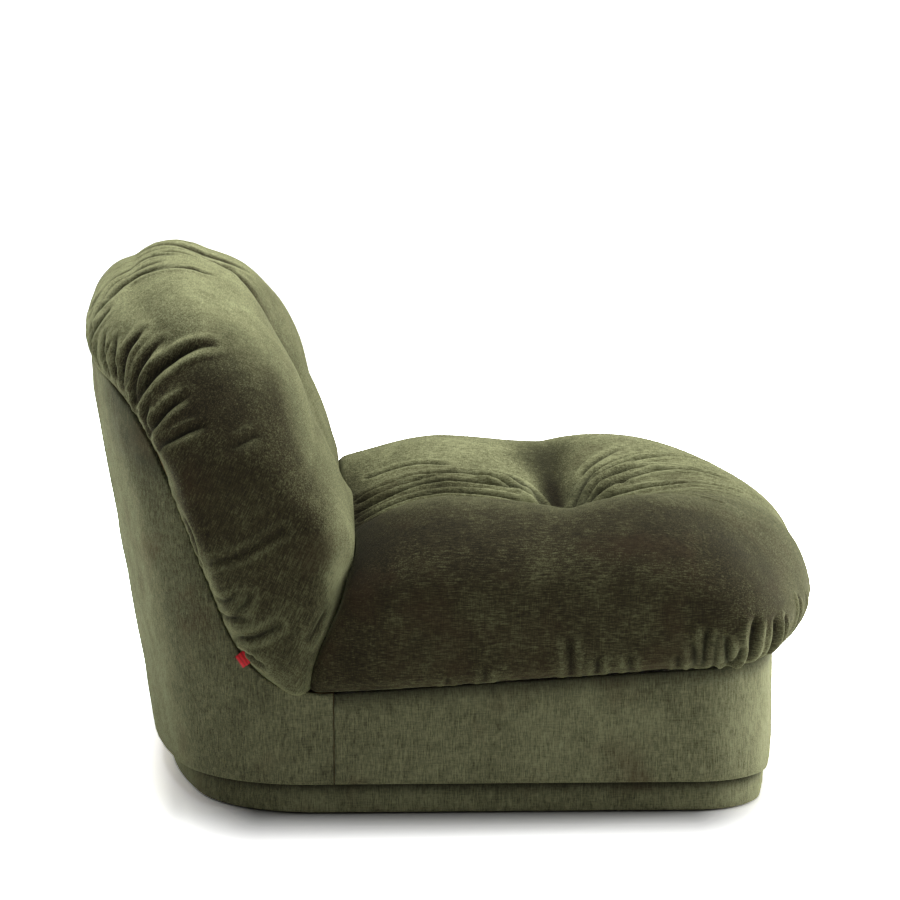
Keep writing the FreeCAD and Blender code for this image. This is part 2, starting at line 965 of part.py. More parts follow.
top_ring_whole = prism_between(
    plan_wire(frame_inset),
    plan_wire(ring_inner),
    size("top_ring_low"),
    size("top_ring_high"),
)
ring_end = size("spring_rail_y") - GAP
keep(
    "seat_top_ring",
    form(
        "seat_top_ring",
        top_ring_whole.common(
            slab(-REACH, ring_end, size("top_ring_low"), size("top_ring_high"))
        ),
    ),
)

base_block = form(
    "base_block",
    prism_between(plan_wire(frame_inset), None, base_low, size("top_ring_high")),
)
rail_rise = ("low_ring_high", "top_ring_low")
front_board = board(
    "front_board",
    ("-front_post_x + layer_gap", "front_post_x - layer_gap"),
    ("-ring_front - rail_thickness", "-front_rail_inner_y"),
    rail_rise,
)
keep("front_rail", join("Part::Common", "front_rail", front_board, base_block))
for sign, side in BOTH_SIDES:
    near, far = (
        ("-frame_half_width", "-rail_inside")
        if sign < 0
        else ("rail_inside", "frame_half_width")
    )
    side_rail = board(
        side + "_rail",
        (near, far),
        ("-front_post_y + layer_gap", "spring_rail_y - layer_gap"),
        rail_rise,
    )
    keep(side + "_rail", side_rail)
    inner, outer = ("front_post_x", "frame_half_width + rail_thickness")
    across = (f"-({outer})", f"-({inner})") if sign < 0 else (inner, outer)
    for end, along in (
        ("front", ("-ring_front - rail_thickness", "-front_post_y")),
        ("rear", ("spring_rail_rear + layer_gap", "rear_rail_y + rail_thickness")),
    ):
        block = board(f"{end}_{side}_block", across, along, rail_rise)
        keep(
            f"{end}_{side}_post",
            join("Part::Common", f"{end}_{side}_post", block, base_block),
        )

bolt_places = [
    (sign, side, level) for sign, side in BOTH_SIDES for level in ("low", "high")
]
bolt_turn = Rotation(Vector(1, 0, 0), -90)
nut_turn = Rotation(Vector(0, 1, 0), 90)
bolt_hole = "bolt_radius + layer_gap"


def bolt_holes(prefix):
    return group(
        prefix,
        [
            rod(
                f"{prefix}_{side}_{level}",
                bolt_hole,
                "bolt_length + layer_gap",
                f"{sign} * panel_middle",
                "spring_rail_y - layer_gap",
                f"bolt_{level}_z",
                bolt_turn,
            )
            for sign, side, level in bolt_places
        ],
    )


spring_board = board(
    "spring_board",
    ("-frame_half_width", "frame_half_width"),
    ("spring_rail_y", "spring_rail_rear"),
    ("low_ring_high", "top_ring_high"),
)
spring_blank = join("Part::Common", "spring_rail_blank", spring_board, base_block)
keep(
    "spring_rail",
    join("Part::Cut", "spring_rail", spring_blank, bolt_holes("spring_rail_holes")),
)
rear_board = board(
    "rear_board",
    ("-front_post_x + layer_gap", "front_post_x - layer_gap"),
    ("rear_rail_y", "rear_rail_y + rail_thickness"),
    rail_rise,
)
keep("rear_rail", join("Part::Common", "rear_rail", rear_board, base_block))
keep(
    "centre_rail",
    board(
        "centre_rail",
        ("-rail_thickness / 2", "rail_thickness / 2"),
        ("-front_rail_inner_y + layer_gap", "spring_rail_y - layer_gap"),
        ("low_ring_high", "low_ring_high + centre_rail_height"),
    ),
)

# Springs: zigzag wires from the front of the top ring to the spring rail, held in clips

wire_radius = size("wire_radius")
spring_level = size("top_ring_high") + size("clip_height") / 2
clip_lap = size("clip_length") / 2
spring_start = -size("spring_front_y")
spring_finish = size("spring_rail_y") + size("rail_thickness") / 2
run_count = 2 * round((spring_finish - spring_start) / size("spring_pitch") / 2) + 1
run_pitch = (spring_finish - spring_start) / (run_count - 1)


def zigzag():
    """One spring along Y at x = 0: straight runs across, joined by half turns."""
    turn = run_pitch / 2
    side = size("spring_width") / 2 - turn
    edges = []
    for run in range(run_count):
        y = spring_start + run * run_pitch
        way = 1 if run % 2 == 0 else -1
        start = Vector(-way * side, y, spring_level)
        end = Vector(way * side, y, spring_level)
        edges.append(Part.LineSegment(start, end).toShape())
        if run < run_count - 1:
            top = Vector(way * (side + turn), y + turn, spring_level)
            after = Vector(way * side, y + run_pitch, spring_level)
            edges.append(Part.Arc(end, top, after).toShape())
    path = Part.Wire(edges)
    start = path.OrderedVertexes[0].Point
    ring = Part.Wire(Part.makeCircle(wire_radius, start, Vector(1, 0, 0)))
    return path.makePipeShell([ring], True, False)


spring_xs = [
    sign * (number + 0.5) * size("spring_spacing")
    for number in range(int(size("spring_pairs")))
    for sign in (-1, 1)
]
one_spring = zigzag()
keep(
    "seat_springs",
    form(
        "seat_springs",
        Part.makeCompound([one_spring.translated(Vector(x, 0, 0)) for x in spring_xs]),
    ),
)


def clip(x, y):
    """A clip on the frame with a channel for the spring's end run and a slot where the wire leaves it."""
    width = size("clip_width")
    block = Part.makeBox(
        width,
        size("clip_length"),
        size("clip_height"),
        Vector(x - width / 2, y - clip_lap, size("top_ring_high")),
    )
    room = wire_radius + GAP
    channel = Part.makeCylinder(
        room,
        width + 2 * OVERRUN,
        Vector(x - width / 2 - OVERRUN, y, spring_level),
        Vector(1, 0, 0),
    )
    return block.cut(channel)


keep(
    "spring_clips",
    form(
        "spring_clips",
        Part.makeCompound(
            [clip(x, y) for x in spring_xs for y in (spring_start, spring_finish)]
        ),
    ),
)

# Deck: a cloth over the springs and a felt pad that rises to the front, level with the top of the base

deck_end = SHELL_FRONT - GAP


def deck_layer(low, high, end_y):
    sheet = prism_between(plan_wire(frame_inset + GAP), None, low, high)
    return sheet.common(slab(-REACH, end_y, low, high))


def drilled(shape, centre, direction, radius):
    """Cut a round hole of one radius right through, along a line."""
    axis = Vector(*direction).normalize()
    start = Vector(*centre) - axis * REACH
    return shape.cut(Part.makeCylinder(radius, 2 * REACH, start, axis))


seat_tuft = (0, -size("seat_tuft_y"), 0)
twine_hole = size("twine_radius") + GAP
deck_cloth = deck_layer(size("cloth_low"), size("cloth_high"), deck_end)
deck_pad = deck_layer(size("pad_low"), DECK_TOP, deck_end).common(under_deck(0.0))
keep(
    "deck_cloth",
    form("deck_cloth", drilled(deck_cloth, seat_tuft, (0, 0, 1), twine_hole)),
)
keep("deck_pad", form("deck_pad", drilled(deck_pad, seat_tuft, (0, 0, 1), twine_hole)))

# Base upholstery in front of the side seams: bent board, padding, and fabric folded over the top edge

facing_inset = size("cover_thickness") + size("padding_thickness") + 2 * GAP
facing_inner = facing_inset + size("facing_thickness")
padding_inset = size("cover_thickness") + GAP
padding_inner = padding_inset + size("padding_thickness")
WALLS = {
    "cover": (0.0, size("cover_thickness")),
    "padding": (padding_inset, padding_inner),
    "facing": (facing_inset, facing_inner),
}
for layer, (outer, inner) in WALLS.items():
    drop = 0.0 if layer == "cover" else size("cover_thickness") + GAP
    wall = prism_between(plan_wire(outer), plan_wire(inner), base_low, DECK_TOP)
    wall = wall.common(under_deck(drop))
    if layer == "cover":
        lip = prism_between(plan_wire(outer), plan_wire(frame_inset), base_low, DECK_TOP)
        lip = lip.common(under_deck(0.0)).cut(under_deck(size("cover_thickness")))
        wall = wall.fuse(lip).removeSplitter()
    front = wall.common(slab(-REACH, SHELL_FRONT - GAP, base_low, DECK_TOP))
    keep("front_band_" + layer, form("front_band_" + layer, front))

# Shell: the rear of the base and the leaning back, in the same three layers

for layer, (outer, inner) in WALLS.items():
    wall = shell_space(outer).cut(shell_space(inner))
    keep(
        "back_shell_" + layer,
        form(
            "back_shell_" + layer, wall.common(behind_seam(0.0, SHELL_FRONT, base_high))
        ),
    )

# Back frame: two uprights, three curved ribs and a top rail

strap_room = size("strap_room")
frame_space = shell_space(frame_inset)
frame_room = frame_space.common(behind_seam(strap_room, SHELL_FRONT, base_high))
upright_room = shell_space(frame_inset + size("panel_rear_inset")).common(
    behind_seam(strap_room, SHELL_FRONT, base_high)
)
upright_top = size("top_rail_low_z") - GAP
upright_front = size("spring_rail_rear") + GAP
upright_rear = size("rear_rail_y") - GAP
nut_y = size("spring_rail_y") + size("bolt_length") - size("nut_setback")


def upright_blank(sign, spread):
    """One plywood upright, or the slot for it when spread is not zero."""
    low_x = size("panel_x") if sign > 0 else -size("panel_outside")
    thick = size("panel_thickness") + 2 * spread
    box = Part.makeBox(
        thick,
        REACH,
        upright_top - base_high,
        Vector(low_x - spread, upright_front, base_high),
    )
    foot = Part.makeBox(
        thick,
        upright_rear - upright_front,
        base_high - size("low_ring_high"),
        Vector(low_x - spread, upright_front, size("low_ring_high")),
    )
    return foot.fuse(box.common(upright_room)).removeSplitter()


for sign, side in BOTH_SIDES:
    blank = upright_blank(sign, 0.0)
    middle = sign * size("panel_middle")
    for level in ("bolt_low_z", "bolt_high_z"):
        bolt_room = Part.makeCylinder(
            size("bolt_radius") + GAP,
            size("bolt_length") + GAP,
            Vector(middle, size("spring_rail_y"), size(level)),
            Vector(0, 1, 0),
        )
        nut_room = Part.makeCylinder(
            size("nut_radius") + GAP,
            size("panel_thickness") + 2 * OVERRUN,
            Vector(middle - size("panel_thickness") / 2 - OVERRUN, nut_y, size(level)),
            Vector(1, 0, 0),
        )
        blank = blank.cut(bolt_room).cut(nut_room)
    keep(side + "_upright", form(side + "_upright", blank))

slots = [upright_blank(sign, GAP) for sign, _ in BOTH_SIDES]
rib_opening = shell_space(frame_inset + size("rib_width"))
for level in ("lower", "middle", "upper"):
    low = size(f"rib_{level}_z")
    rib = frame_room.common(slab(-REACH, REACH, low, low + size("rib_thickness")))
    rib = rib.cut(rib_opening)
    for slot in slots:
        rib = rib.cut(slot)
    keep("back_rib_" + level, form("back_rib_" + level, rib))
top_rail = frame_room.common(
    slab(-REACH, REACH, size("top_rail_low_z"), size("top_rail_high_z"))
)
keep("back_top_rail", form("back_top_rail", top_rail))

# Webbing across the uprights, along the straight part of the seam's line

web_low = Vector(0, *seam_point(*SEAM_SHARES[1][1]))
web_high = Vector(0, *seam_point(*SEAM_SHARES[2][1]))
web_way = (web_high - web_low).normalize()
web_back = Vector(0, web_way.z, -web_way.y)
web_turn = Rotation(Vector(1, 0, 0), -web_way, web_back, "XYZ")
strap_half = size("panel_outside")


def strap(number):
    pitch = (web_high - web_low).Length / size("strap_count")
    centre = web_low + web_way * (number + 0.5) * pitch + web_back * 2 * GAP
    blank = Part.makeBox(
        2 * strap_half,
        size("strap_width"),
        size("strap_thickness"),
        Vector(-strap_half, -size("strap_width") / 2, 0),
    )
    blank.Placement = Placement(centre, web_turn).multiply(blank.Placement)
    return blank


straps = [strap(number) for number in range(int(size("strap_count")))]

# Bolts, washers and barrel nuts

bolt_front = "- bolt_head_height - washer_thickness"
back_bolt = turned(
    "back_bolt",
    [
        ("0", bolt_front),
        ("bolt_head_radius", bolt_front),
        ("bolt_head_radius", "- washer_thickness"),
        ("bolt_radius", "- washer_thickness"),
        ("bolt_radius", "bolt_length"),
        ("0", "bolt_length"),
    ],
)
bolt_washer = turned(
    "bolt_washer",
    [
        (bolt_hole, "- washer_thickness"),
        ("washer_radius", "- washer_thickness"),
        ("washer_radius", "0"),
        (bolt_hole, "0"),
    ],
)
doc.recompute()
bolt_spots = [
    Placement(
        Vector(
            sign * size("panel_middle"), size("spring_rail_y"), size(f"bolt_{level}_z")
        ),
        bolt_turn,
    )
    for sign, _, level in bolt_places
]
keep("back_bolts", copies("back_bolts", back_bolt, bolt_spots))
keep("bolt_washers", copies("bolt_washers", bolt_washer, bolt_spots))


def barrel_nut(sign, level):
    length = size("nut_length")
    centre = Vector(sign * size("panel_middle"), nut_y, size(f"bolt_{level}_z"))
    barrel = Part.makeCylinder(
        size("nut_radius"), length, centre - Vector(length / 2, 0, 0), Vector(1, 0, 0)
    )
    return drilled(barrel, centre, (0, 1, 0), size("bolt_radius") + GAP)


keep(
    "barrel_nuts",
    form(
        "barrel_nuts",
        Part.makeCompound([barrel_nut(sign, level) for sign, _, level in bolt_places]),
    ),
)

# Cushions: a sewn cover, a foam core and a fibre filling, drawn in by a twine at each tuft

cover = size("cover_thickness")
core_gap = size("core_gap")
seat_skin = seat_form(0.0).cut(back_contact(0.0))
seat_room = seat_form(cover).cut(back_contact(cover))
seat_fill = seat_form(cover + core_gap).cut(back_contact(cover + core_gap))
seat_core_top = SEAT_LOW + size("seat_core_height")
core_slab = slab(-REACH, REACH, 0, seat_core_top)
fill_slab = slab(-REACH, REACH, seat_core_top + core_gap, size("chair_height"))
for name, shape in (
    ("seat_cover", seat_skin.cut(seat_room)),
    ("seat_foam_core", seat_fill.common(core_slab)),
    ("seat_fibre_filling", seat_fill.common(fill_slab)),
):
    keep(name, form(name, drilled(shape, seat_tuft, (0, 0, 1), twine_hole)))

seat_pit_z = seat_station(*SEAT_STATION_SHARES[0][1:])[3][1][1]
seat_anchor_top = size("cloth_low") - GAP
keep(
    "seat_tuft_twine",
    form(
        "seat_tuft_twine",
        Part.makeCylinder(
            size("twine_radius"),
            seat_pit_z - seat_anchor_top,
            Vector(0, seat_tuft[1], seat_anchor_top),
        ),
    ),
)
keep(
    "seat_tuft_anchor",
    form(
        "seat_tuft_anchor",
        Part.makeCylinder(
            size("anchor_radius"),
            size("anchor_thickness"),
            Vector(0, seat_tuft[1], seat_anchor_top - size("anchor_thickness")),
        ),
    ),
)

back_skin = back_form(0.0)
back_room = back_form(cover)
back_fill = back_form(cover + core_gap)
pit = Vector(0, *back_station(*BACK_STATION_SHARES[0][1:])[1][1])
core_block = Part.makeBox(2 * REACH, 2 * REACH, 2 * REACH, Vector(-REACH, -REACH, 0))
core_face = web_low - web_back * size("back_core_share") * BACK_DEPTH
rear_block = core_block.copy()
rear_block.Placement = Placement(core_face, web_turn).multiply(core_block.Placement)
front_block = core_block.copy()
front_block.Placement = Placement(
    core_face - web_back * (2 * REACH + core_gap), web_turn
).multiply(core_block.Placement)
pit_line = (tuple(pit), tuple(web_back), twine_hole)
for name, shape in (
    ("back_cover", back_skin.cut(back_room)),
    ("back_foam_core", back_fill.common(rear_block)),
    ("back_fibre_filling", back_fill.common(front_block)),
):
    keep(name, form(name, drilled(shape, *pit_line)))
pit_reach = (web_low - pit).dot(web_back) + strap_room
keep(
    "back_webbing",
    form(
        "back_webbing",
        Part.makeCompound([drilled(shape, *pit_line) for shape in straps]),
    ),
)
keep(
    "back_tuft_twine",
    form(
        "back_tuft_twine",
        Part.makeCylinder(size("twine_radius"), pit_reach, pit, web_back),
    ),
)
keep(
    "back_tuft_anchor",
    form(
        "back_tuft_anchor",
        Part.makeCylinder(
            size("anchor_radius"),
            size("anchor_thickness"),
            pit + web_back * pit_reach,
            web_back,
        ),
    ),
)

# Blank tab that lies on the shell, behind the left seam that holds its front edge

tab_length, tab_thickness = size("tab_length"), size("tab_thickness")
seam_foot = (SEAM_SHARES[0][1], *SEAM_SHARES[1])
seam_arc = Part.Arc(*(Vector(*seam_point(*shares), 0) for shares in seam_foot)).toShape().Curve
tab_top = size("tab_z") + size("tab_width") / 2
tab_drop = tab_top - seam_arc.Center.y
tab_y = seam_arc.Center.x + math.sqrt(seam_arc.Radius**2 - tab_drop**2) + tab_length / 2
rise_share = (size("tab_z") - base_low) / (size("shell_height") - base_low)
(rise_0, lean_0), (rise_1, lean_1) = LEAN_SHARES[1:3]
lean_share = lean_0 + (lean_1 - lean_0) * (rise_share - rise_0) / (rise_1 - rise_0)
corner_radius = size("rear_corner_radius")
corner_y = end_points(
    size("base_rear") + lean_share * SHELL_LEAN,
    corner_radius,
    size("rear_bow_radius"),
    0.0,
)[0].y
tab_angle = math.asin((tab_y - corner_y) / corner_radius)
tab_radius = corner_radius + 2 * GAP
tab_centre = Vector(
    corner_radius - HALF_WIDTH - tab_radius * math.cos(tab_angle),
    corner_y + tab_radius * math.sin(tab_angle),
    size("tab_z"),
)
tab = Part.makeBox(
    tab_thickness,
    tab_length,
    size("tab_width"),
    Vector(-tab_thickness, -tab_length / 2, -size("tab_width") / 2),
)
tab_turn = Rotation(Vector(0, 0, 1), -math.degrees(tab_angle))
tab.Placement = Placement(tab_centre, tab_turn).multiply(tab.Placement)
keep("label_tab", form("label_tab", tab))

doc.recompute()
for thing in doc.Objects:
    if "Invalid" in thing.State or "Error" in thing.State:
        raise RuntimeError(f"{thing.Name} failed: {thing.State}")
for label, thing in parts.items():
    if thing.Shape.isNull() or not thing.Shape.isValid():
        raise RuntimeError(f"{label} has no valid shape")
os.makedirs("parts", exist_ok=True)
for label, thing in parts.items():
    thing.Shape.exportStep(f"parts/{label}.step")
    print(label, len(thing.Shape.Solids), round(thing.Shape.Volume))
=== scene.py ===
import json
import math

import bpy
import numpy as np
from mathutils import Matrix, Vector
from mathutils.bvhtree import BVHTree


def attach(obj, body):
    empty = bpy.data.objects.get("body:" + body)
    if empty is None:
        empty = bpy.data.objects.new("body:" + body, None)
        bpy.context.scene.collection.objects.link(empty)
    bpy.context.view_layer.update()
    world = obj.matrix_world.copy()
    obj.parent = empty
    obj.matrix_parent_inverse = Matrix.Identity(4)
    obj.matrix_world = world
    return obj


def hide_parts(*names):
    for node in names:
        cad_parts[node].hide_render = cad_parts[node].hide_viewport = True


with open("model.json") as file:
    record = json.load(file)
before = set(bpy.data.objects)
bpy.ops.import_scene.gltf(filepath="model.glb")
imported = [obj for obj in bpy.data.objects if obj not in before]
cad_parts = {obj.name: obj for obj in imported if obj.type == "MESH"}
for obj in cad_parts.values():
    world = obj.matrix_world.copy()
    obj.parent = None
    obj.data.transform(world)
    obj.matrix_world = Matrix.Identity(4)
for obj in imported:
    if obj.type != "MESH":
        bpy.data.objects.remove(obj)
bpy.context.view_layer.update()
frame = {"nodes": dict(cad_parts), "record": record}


# The photographer's place, as high as two chairs, on the side of the chair at the sitter's right hand.
# A long lens far away, so that the near and the far side of the chair run almost parallel.

CAMERA_PLACE = (-5.997, 0.1805, 1.45)
PITCH, TURN = math.radians(9.74), math.radians(1.8)
LOOK = Vector((math.cos(TURN) * math.cos(PITCH), -math.sin(TURN) * math.cos(PITCH), -math.sin(PITCH)))


def linked(name, data):
    """A new object in the scene, at the origin."""
    made = bpy.data.objects.new(name, data)
    bpy.context.scene.collection.objects.link(made)
    return made


lens = bpy.data.cameras.new("long_lens")
lens.sensor_width = 36
lens.lens = 174.4
lens.clip_end = 200
camera = linked("camera", lens)
camera.location = CAMERA_PLACE
camera.rotation_euler = LOOK.to_track_quat("-Z", "Y").to_euler()
bpy.context.scene.camera = camera
bpy.context.scene.view_settings.view_transform = "Standard"


# The studio: a white floor that runs on as the backdrop, and white cloth all round that lights the chair
# evenly. A large soft box hangs over the chair, and two more stand in front of it and behind it, past the
# view.

WHITE = (1, 1, 1, 1)
AIM = Vector((0, 0, 0.3))
# The chair's painted shadow on the paper: how far its middle lies in front of the origin, its half width
# and half depth, how much faster it ends along the chair's depth, and where it is cut off in front of the
# chair and behind it
SHADE_SHIFT, SHADE_HALF, SHADE_SQUEEZE, SHADE_END = (0, 0.03, 0), (0.37, 0.28, 0), (1, 2.1, 1), (0.40, 0.46)


def linear(code):
    """An sRGB hex colour, as the linear colour that a socket takes."""
    shares = [int(code[i : i + 2], 16) / 255 for i in (1, 3, 5)]
    return (*(s / 12.92 if s <= 0.04045 else ((s + 0.055) / 1.055) ** 2.4 for s in shares), 1)


def add(tree, kind, settings=(), **inputs):
    """Adds a node with its settings. An input is a number, a colour or a node's socket, _0 the first."""
    made = tree.nodes.new("ShaderNode" + kind)
    for name, value in dict(settings).items():
        setattr(made, name, value)
    for name, value in inputs.items():
        socket = made.inputs[int(name[1:])] if name[0] == "_" else made.inputs[name.replace("_", " ")]
        if isinstance(value, bpy.types.NodeSocket):
            tree.links.new(value, socket)
        else:
            socket.default_value = value
    return made.outputs


def worked(tree, operation, *values, kind="Math", result=0):
    """What an operation makes of numbers."""
    return add(tree, kind, {"operation": operation}, **{f"_{i}": v for i, v in enumerate(values)})[result]


def vectored(tree, operation, *values, result=0):
    """What an operation makes of vectors."""
    return worked(tree, operation, *values, kind="VectorMath", result=result)


def ranged(tree, value, low, high, first=0.0, last=1.0, settings=()):
    """A value that goes from first to last as the given one goes from low to high, and no further."""
    return add(tree, "MapRange", settings, Value=value, _1=low, _2=high, _3=first, _4=last)[0]


def blended(tree, share, first, second):
    """A colour that goes from the first to the second with share."""
    return add(tree, "Mix", {"data_type": "RGBA"}, _0=share, _6=first, _7=second)[2]


def seen_directly(tree):
    """1 for what the camera sees, also by reflection or through a piece, and 0 for what lights the chair."""
    ray = add(tree, "LightPath")
    seen = worked(tree, "MAXIMUM", ray["Is Camera Ray"], ray["Is Glossy Ray"])
    return worked(tree, "MAXIMUM", seen, ray["Is Transmission Ray"])


def finish(name):
    """A new material and its empty node tree."""
    material = bpy.data.materials.new(name)
    material.use_nodes = True
    material.node_tree.nodes.clear()
    return material, material.node_tree


def surfaced(tree, **inputs):
    """Ends a material's tree with its surface."""
    surface = add(tree, "BsdfPrincipled", **inputs)
    add(tree, "OutputMaterial", Surface=surface[0])


# White paper: it lights the chair from below as matt paper does, and the camera sees it white from a hand's
# width round the chair, and darker nearer to it, a painted shadow over the real one
white_paper, tree = finish("white_paper")
matt = add(tree, "BsdfDiffuse", Color=linear("#e6e6e4"))
spot = vectored(tree, "ADD", add(tree, "TexCoord")["Object"], SHADE_SHIFT)
spot = vectored(tree, "ABSOLUTE", spot)
past_end = ranged(tree, add(tree, "SeparateXYZ", Vector=spot)["Y"], *SHADE_END, 0.0, 2.2)
spot = vectored(tree, "SUBTRACT", spot, SHADE_HALF)
spot = vectored(tree, "MAXIMUM", spot, (0, 0, 0))
spot = vectored(tree, "MULTIPLY", spot, SHADE_SQUEEZE)
away = vectored(tree, "LENGTH", spot, result="Value")
# Painted shadow: the paper's colour for the camera is darkest next to the chair and rises to white further
# out
near = ranged(tree, away, 0.03, 0.21, 0.45, 2.1)
far = ranged(tree, away, 0.2, 1.6, 0.0, 10.0)
light = worked(tree, "ADD", past_end, worked(tree, "ADD", near, far))
light = add(tree, "CombineXYZ", X=light, Y=light, Z=light)[0]
shown = add(tree, "BsdfDiffuse", Color=light)
paper = add(tree, "MixShader", Fac=seen_directly(tree), _1=matt[0], _2=shown[0])
add(tree, "OutputMaterial", Surface=paper[0])

bpy.ops.mesh.primitive_plane_add(size=120)
floor = bpy.context.active_object
floor.name = "studio_floor"
floor.data.materials.append(white_paper)

surround = bpy.data.worlds.new("white_cloth")
bpy.context.scene.world = surround
surround.use_nodes = True
tree = surround.node_tree
tree.nodes.clear()
glow = add(tree, "Background", Color=WHITE, Strength=0.13)
clear = add(tree, "Background", Color=WHITE, Strength=1.0)
sky = add(tree, "MixShader", Fac=seen_directly(tree), _1=glow[0], _2=clear[0])
add(tree, "OutputWorld", Surface=sky[0])

for name, place, wide, power in (
    ("soft_box_above", (0.1, -0.1, 2.6), 2.2, 56),
    ("soft_box_front", (0.0, -3.0, 1.0), 1.6, 60),
    ("soft_box_rear", (0.1, 2.4, 2.3), 1.6, 10),
):
    lamp = bpy.data.lights.new(name, "AREA")
    lamp.size = wide
    lamp.energy = power
    box = linked(name, lamp)
    box.location = place
    box.rotation_euler = (AIM - Vector(place)).to_track_quat("-Z", "Y").to_euler()


# The plinth: two plywood rings on four nylon glides, behind a soft strip of felt and a band of the chair's
# cloth. The cloth is stapled to the top ring, pulled down over the strip and folded under, where the hem is
# stapled again.

MM = 0.001
STEP, ROLL, WAVE_LENGTH = 6 * MM, 3.2 * MM, 0.09
HALF_WIDTH = 405 * MM
FRONT_REACH, FRONT_CORNER, FRONT_BOW = 450 * MM, 100 * MM, 2000 * MM
REAR_REACH, REAR_CORNER, REAR_BOW = 407.5 * MM, 180 * MM, 900 * MM
PLINTH_LOW, PLINTH_HIGH, PLINTH_INSET, PLINTH_SETBACK = 2 * MM, 42 * MM, 10 * MM, 18 * MM


def end_arcs(reach, corner, bow):
    """Points of one rounded end from the side to the middle, as (x, y, outward x, outward y)."""
    corner_x = HALF_WIDTH - corner
    run = math.sqrt((bow - corner) ** 2 - corner_x**2)
    corner_y = reach - bow + run
    turn = math.atan2(run, corner_x)
    points = []
    count = round(corner * turn / STEP)
    for i in range(count):
        nx, ny = math.cos(turn * i / count), math.sin(turn * i / count)
        points.append((corner_x + corner * nx, corner_y + corner * ny, nx, ny))
    sweep = math.pi / 2 - turn
    count = round(bow * sweep / STEP)
    for i in range(count + 1):
        nx, ny = math.cos(turn + sweep * i / count), math.sin(turn + sweep * i / count)
        points.append((bow * nx, reach - bow + bow * ny, nx, ny))
    return points


def straight(y_from, y_to):
    """Points of the straight side between two places, without the last."""
    count = max(1, round(abs(y_to - y_from) / STEP))
    return [(HALF_WIDTH, y_from + (y_to - y_from) * i / count, 1.0, 0.0) for i in range(count)]


def whole_round(half):
    """A half outline and its mirror image, as one run from the right side round to the left."""
    return np.array(half + [(-x, y, -nx, ny) for x, y, nx, ny in half[-2::-1]])


def inset(outline, depth):
    """The same outline, drawn in by a depth."""
    drawn = outline.copy()
    drawn[:, :2] -= depth * outline[:, 2:]
    return drawn


def ripples(along, up, seed, length):
    """Low, uneven waves from -1 to 1, as cloth shows over a soft strip."""
    rng = np.random.default_rng(seed)
    total = np.zeros_like(along)
    for _ in range(14):
        a, b = rng.normal(0, 2 * math.pi / length, 2)
        total += np.sin(a * along + 0.6 * b * up + rng.uniform(0, 2 * math.pi))
    return total / 4.2


def new_piece(name, points, faces):
    mesh = bpy.data.meshes.new(name)
    mesh.from_pydata(points, [], faces)
    return linked(name, mesh)


def chosen(piece):
    """Makes a piece the one that the next operator works on."""
    bpy.ops.object.select_all(action="DESELECT")
    bpy.context.view_layer.objects.active = piece
    piece.select_set(True)


def shaped(piece, kind, **settings):
    """Adds a modifier with its settings and applies it."""
    modifier = piece.modifiers.new(kind, kind)
    for name, value in settings.items():
        setattr(modifier, name, value)
    chosen(piece)
    bpy.ops.object.modifier_apply(modifier=kind)


def made_smooth(piece):
    """Turns every face outwards and shades the piece smooth."""
    chosen(piece)
    bpy.ops.object.mode_set(mode="EDIT")
    bpy.ops.mesh.select_all(action="SELECT")
    bpy.ops.mesh.normals_make_consistent(inside=False)
    bpy.ops.object.mode_set(mode="OBJECT")
    bpy.ops.object.shade_smooth()


def upholstered(name, outline, low, high, thick, closed, wave, seed, lean=None, pillow=1.2 * MM):
    """Cloth over padding round an outline, rolled at the top and at the foot, as one closed skin."""
    x, y, nx, ny = outline.T
    low, high = low * np.ones(len(x)), high * np.ones(len(x))
    length = np.concatenate([[0], np.cumsum(np.hypot(np.diff(x), np.diff(y)))])
    rolled = ((-thick, 0.5 * ROLL), (-0.7 * thick, 0.08 * ROLL), (-ROLL, 0), (-0.3 * ROLL, 0.3 * ROLL))
    rows = [(out, low + rise) for out, rise in rolled]
    for share in np.linspace(0, 1, max(4, round(float(np.max(high - low)) / STEP)) + 1):
        z = low + ROLL + share * (high - low - 2 * ROLL)
        off_middle = 2 * share - 1
        out = wave * ripples(length, z, seed, WAVE_LENGTH) * (1 - off_middle**8)
        rows.append((out + pillow * (1 - off_middle**6), z))
    rows += [(out, high - rise) for out, rise in rolled[::-1]]
    sheets = []
    for out, z in rows:
        py = y + ny * out
        if lean:
            py = lean(py, y, z)
        sheets.append(np.stack([x + nx * out, py, z], 1))
    grid = np.stack(sheets, 1)
    columns, around = grid.shape[:2]
    faces = []
    for i in range(columns if closed else columns - 1):
        j = (i + 1) % columns
        for k in range(around):
            m = (k + 1) % around
            faces.append((i * around + k, j * around + k, j * around + m, i * around + m))
    if not closed:
        faces.append(tuple(range(around)))
        faces.append(tuple((columns - 1) * around + k for k in reversed(range(around))))
    piece = new_piece(name, grid.reshape(-1, 3).tolist(), faces)
    made_smooth(piece)
    return piece


def corners(piece):
    found = np.empty(len(piece.data.vertices) * 3)
    piece.data.vertices.foreach_get("co", found)
    return found.reshape(-1, 3)


def kept(piece, name, values):
    """Keeps one number for each corner on the mesh, for the material."""
    layer = piece.data.attributes.new(name, "FLOAT", "POINT")
    layer.data.foreach_set("value", np.asarray(values, dtype=np.float32))


def nearness(places, middle, reach):
    """1 at the middle and less and less around it, with a reach along each axis."""
    return np.exp(-((((places - np.array(middle)) / np.array(reach)) ** 2).sum(1)))


def paint_light_patches(piece, patches, painted_light=0.0):
    """Paints light and shade on a piece in soft patches, paler where the amount is above 0 and darker below
    it: each has its middle and reach in millimetres, and an amount. painted_light is what they are added to."""
    places = corners(piece) / MM
    kept(piece, "painted_light", painted_light + sum(amount * nearness(places, *patch) for *patch, amount in patches))


def rear_out(py, y, z):
    """The plinth's band stands out a little more towards the rear."""
    return py + 4 * MM * np.clip((y - 150 * MM) / (120 * MM), 0, 1)
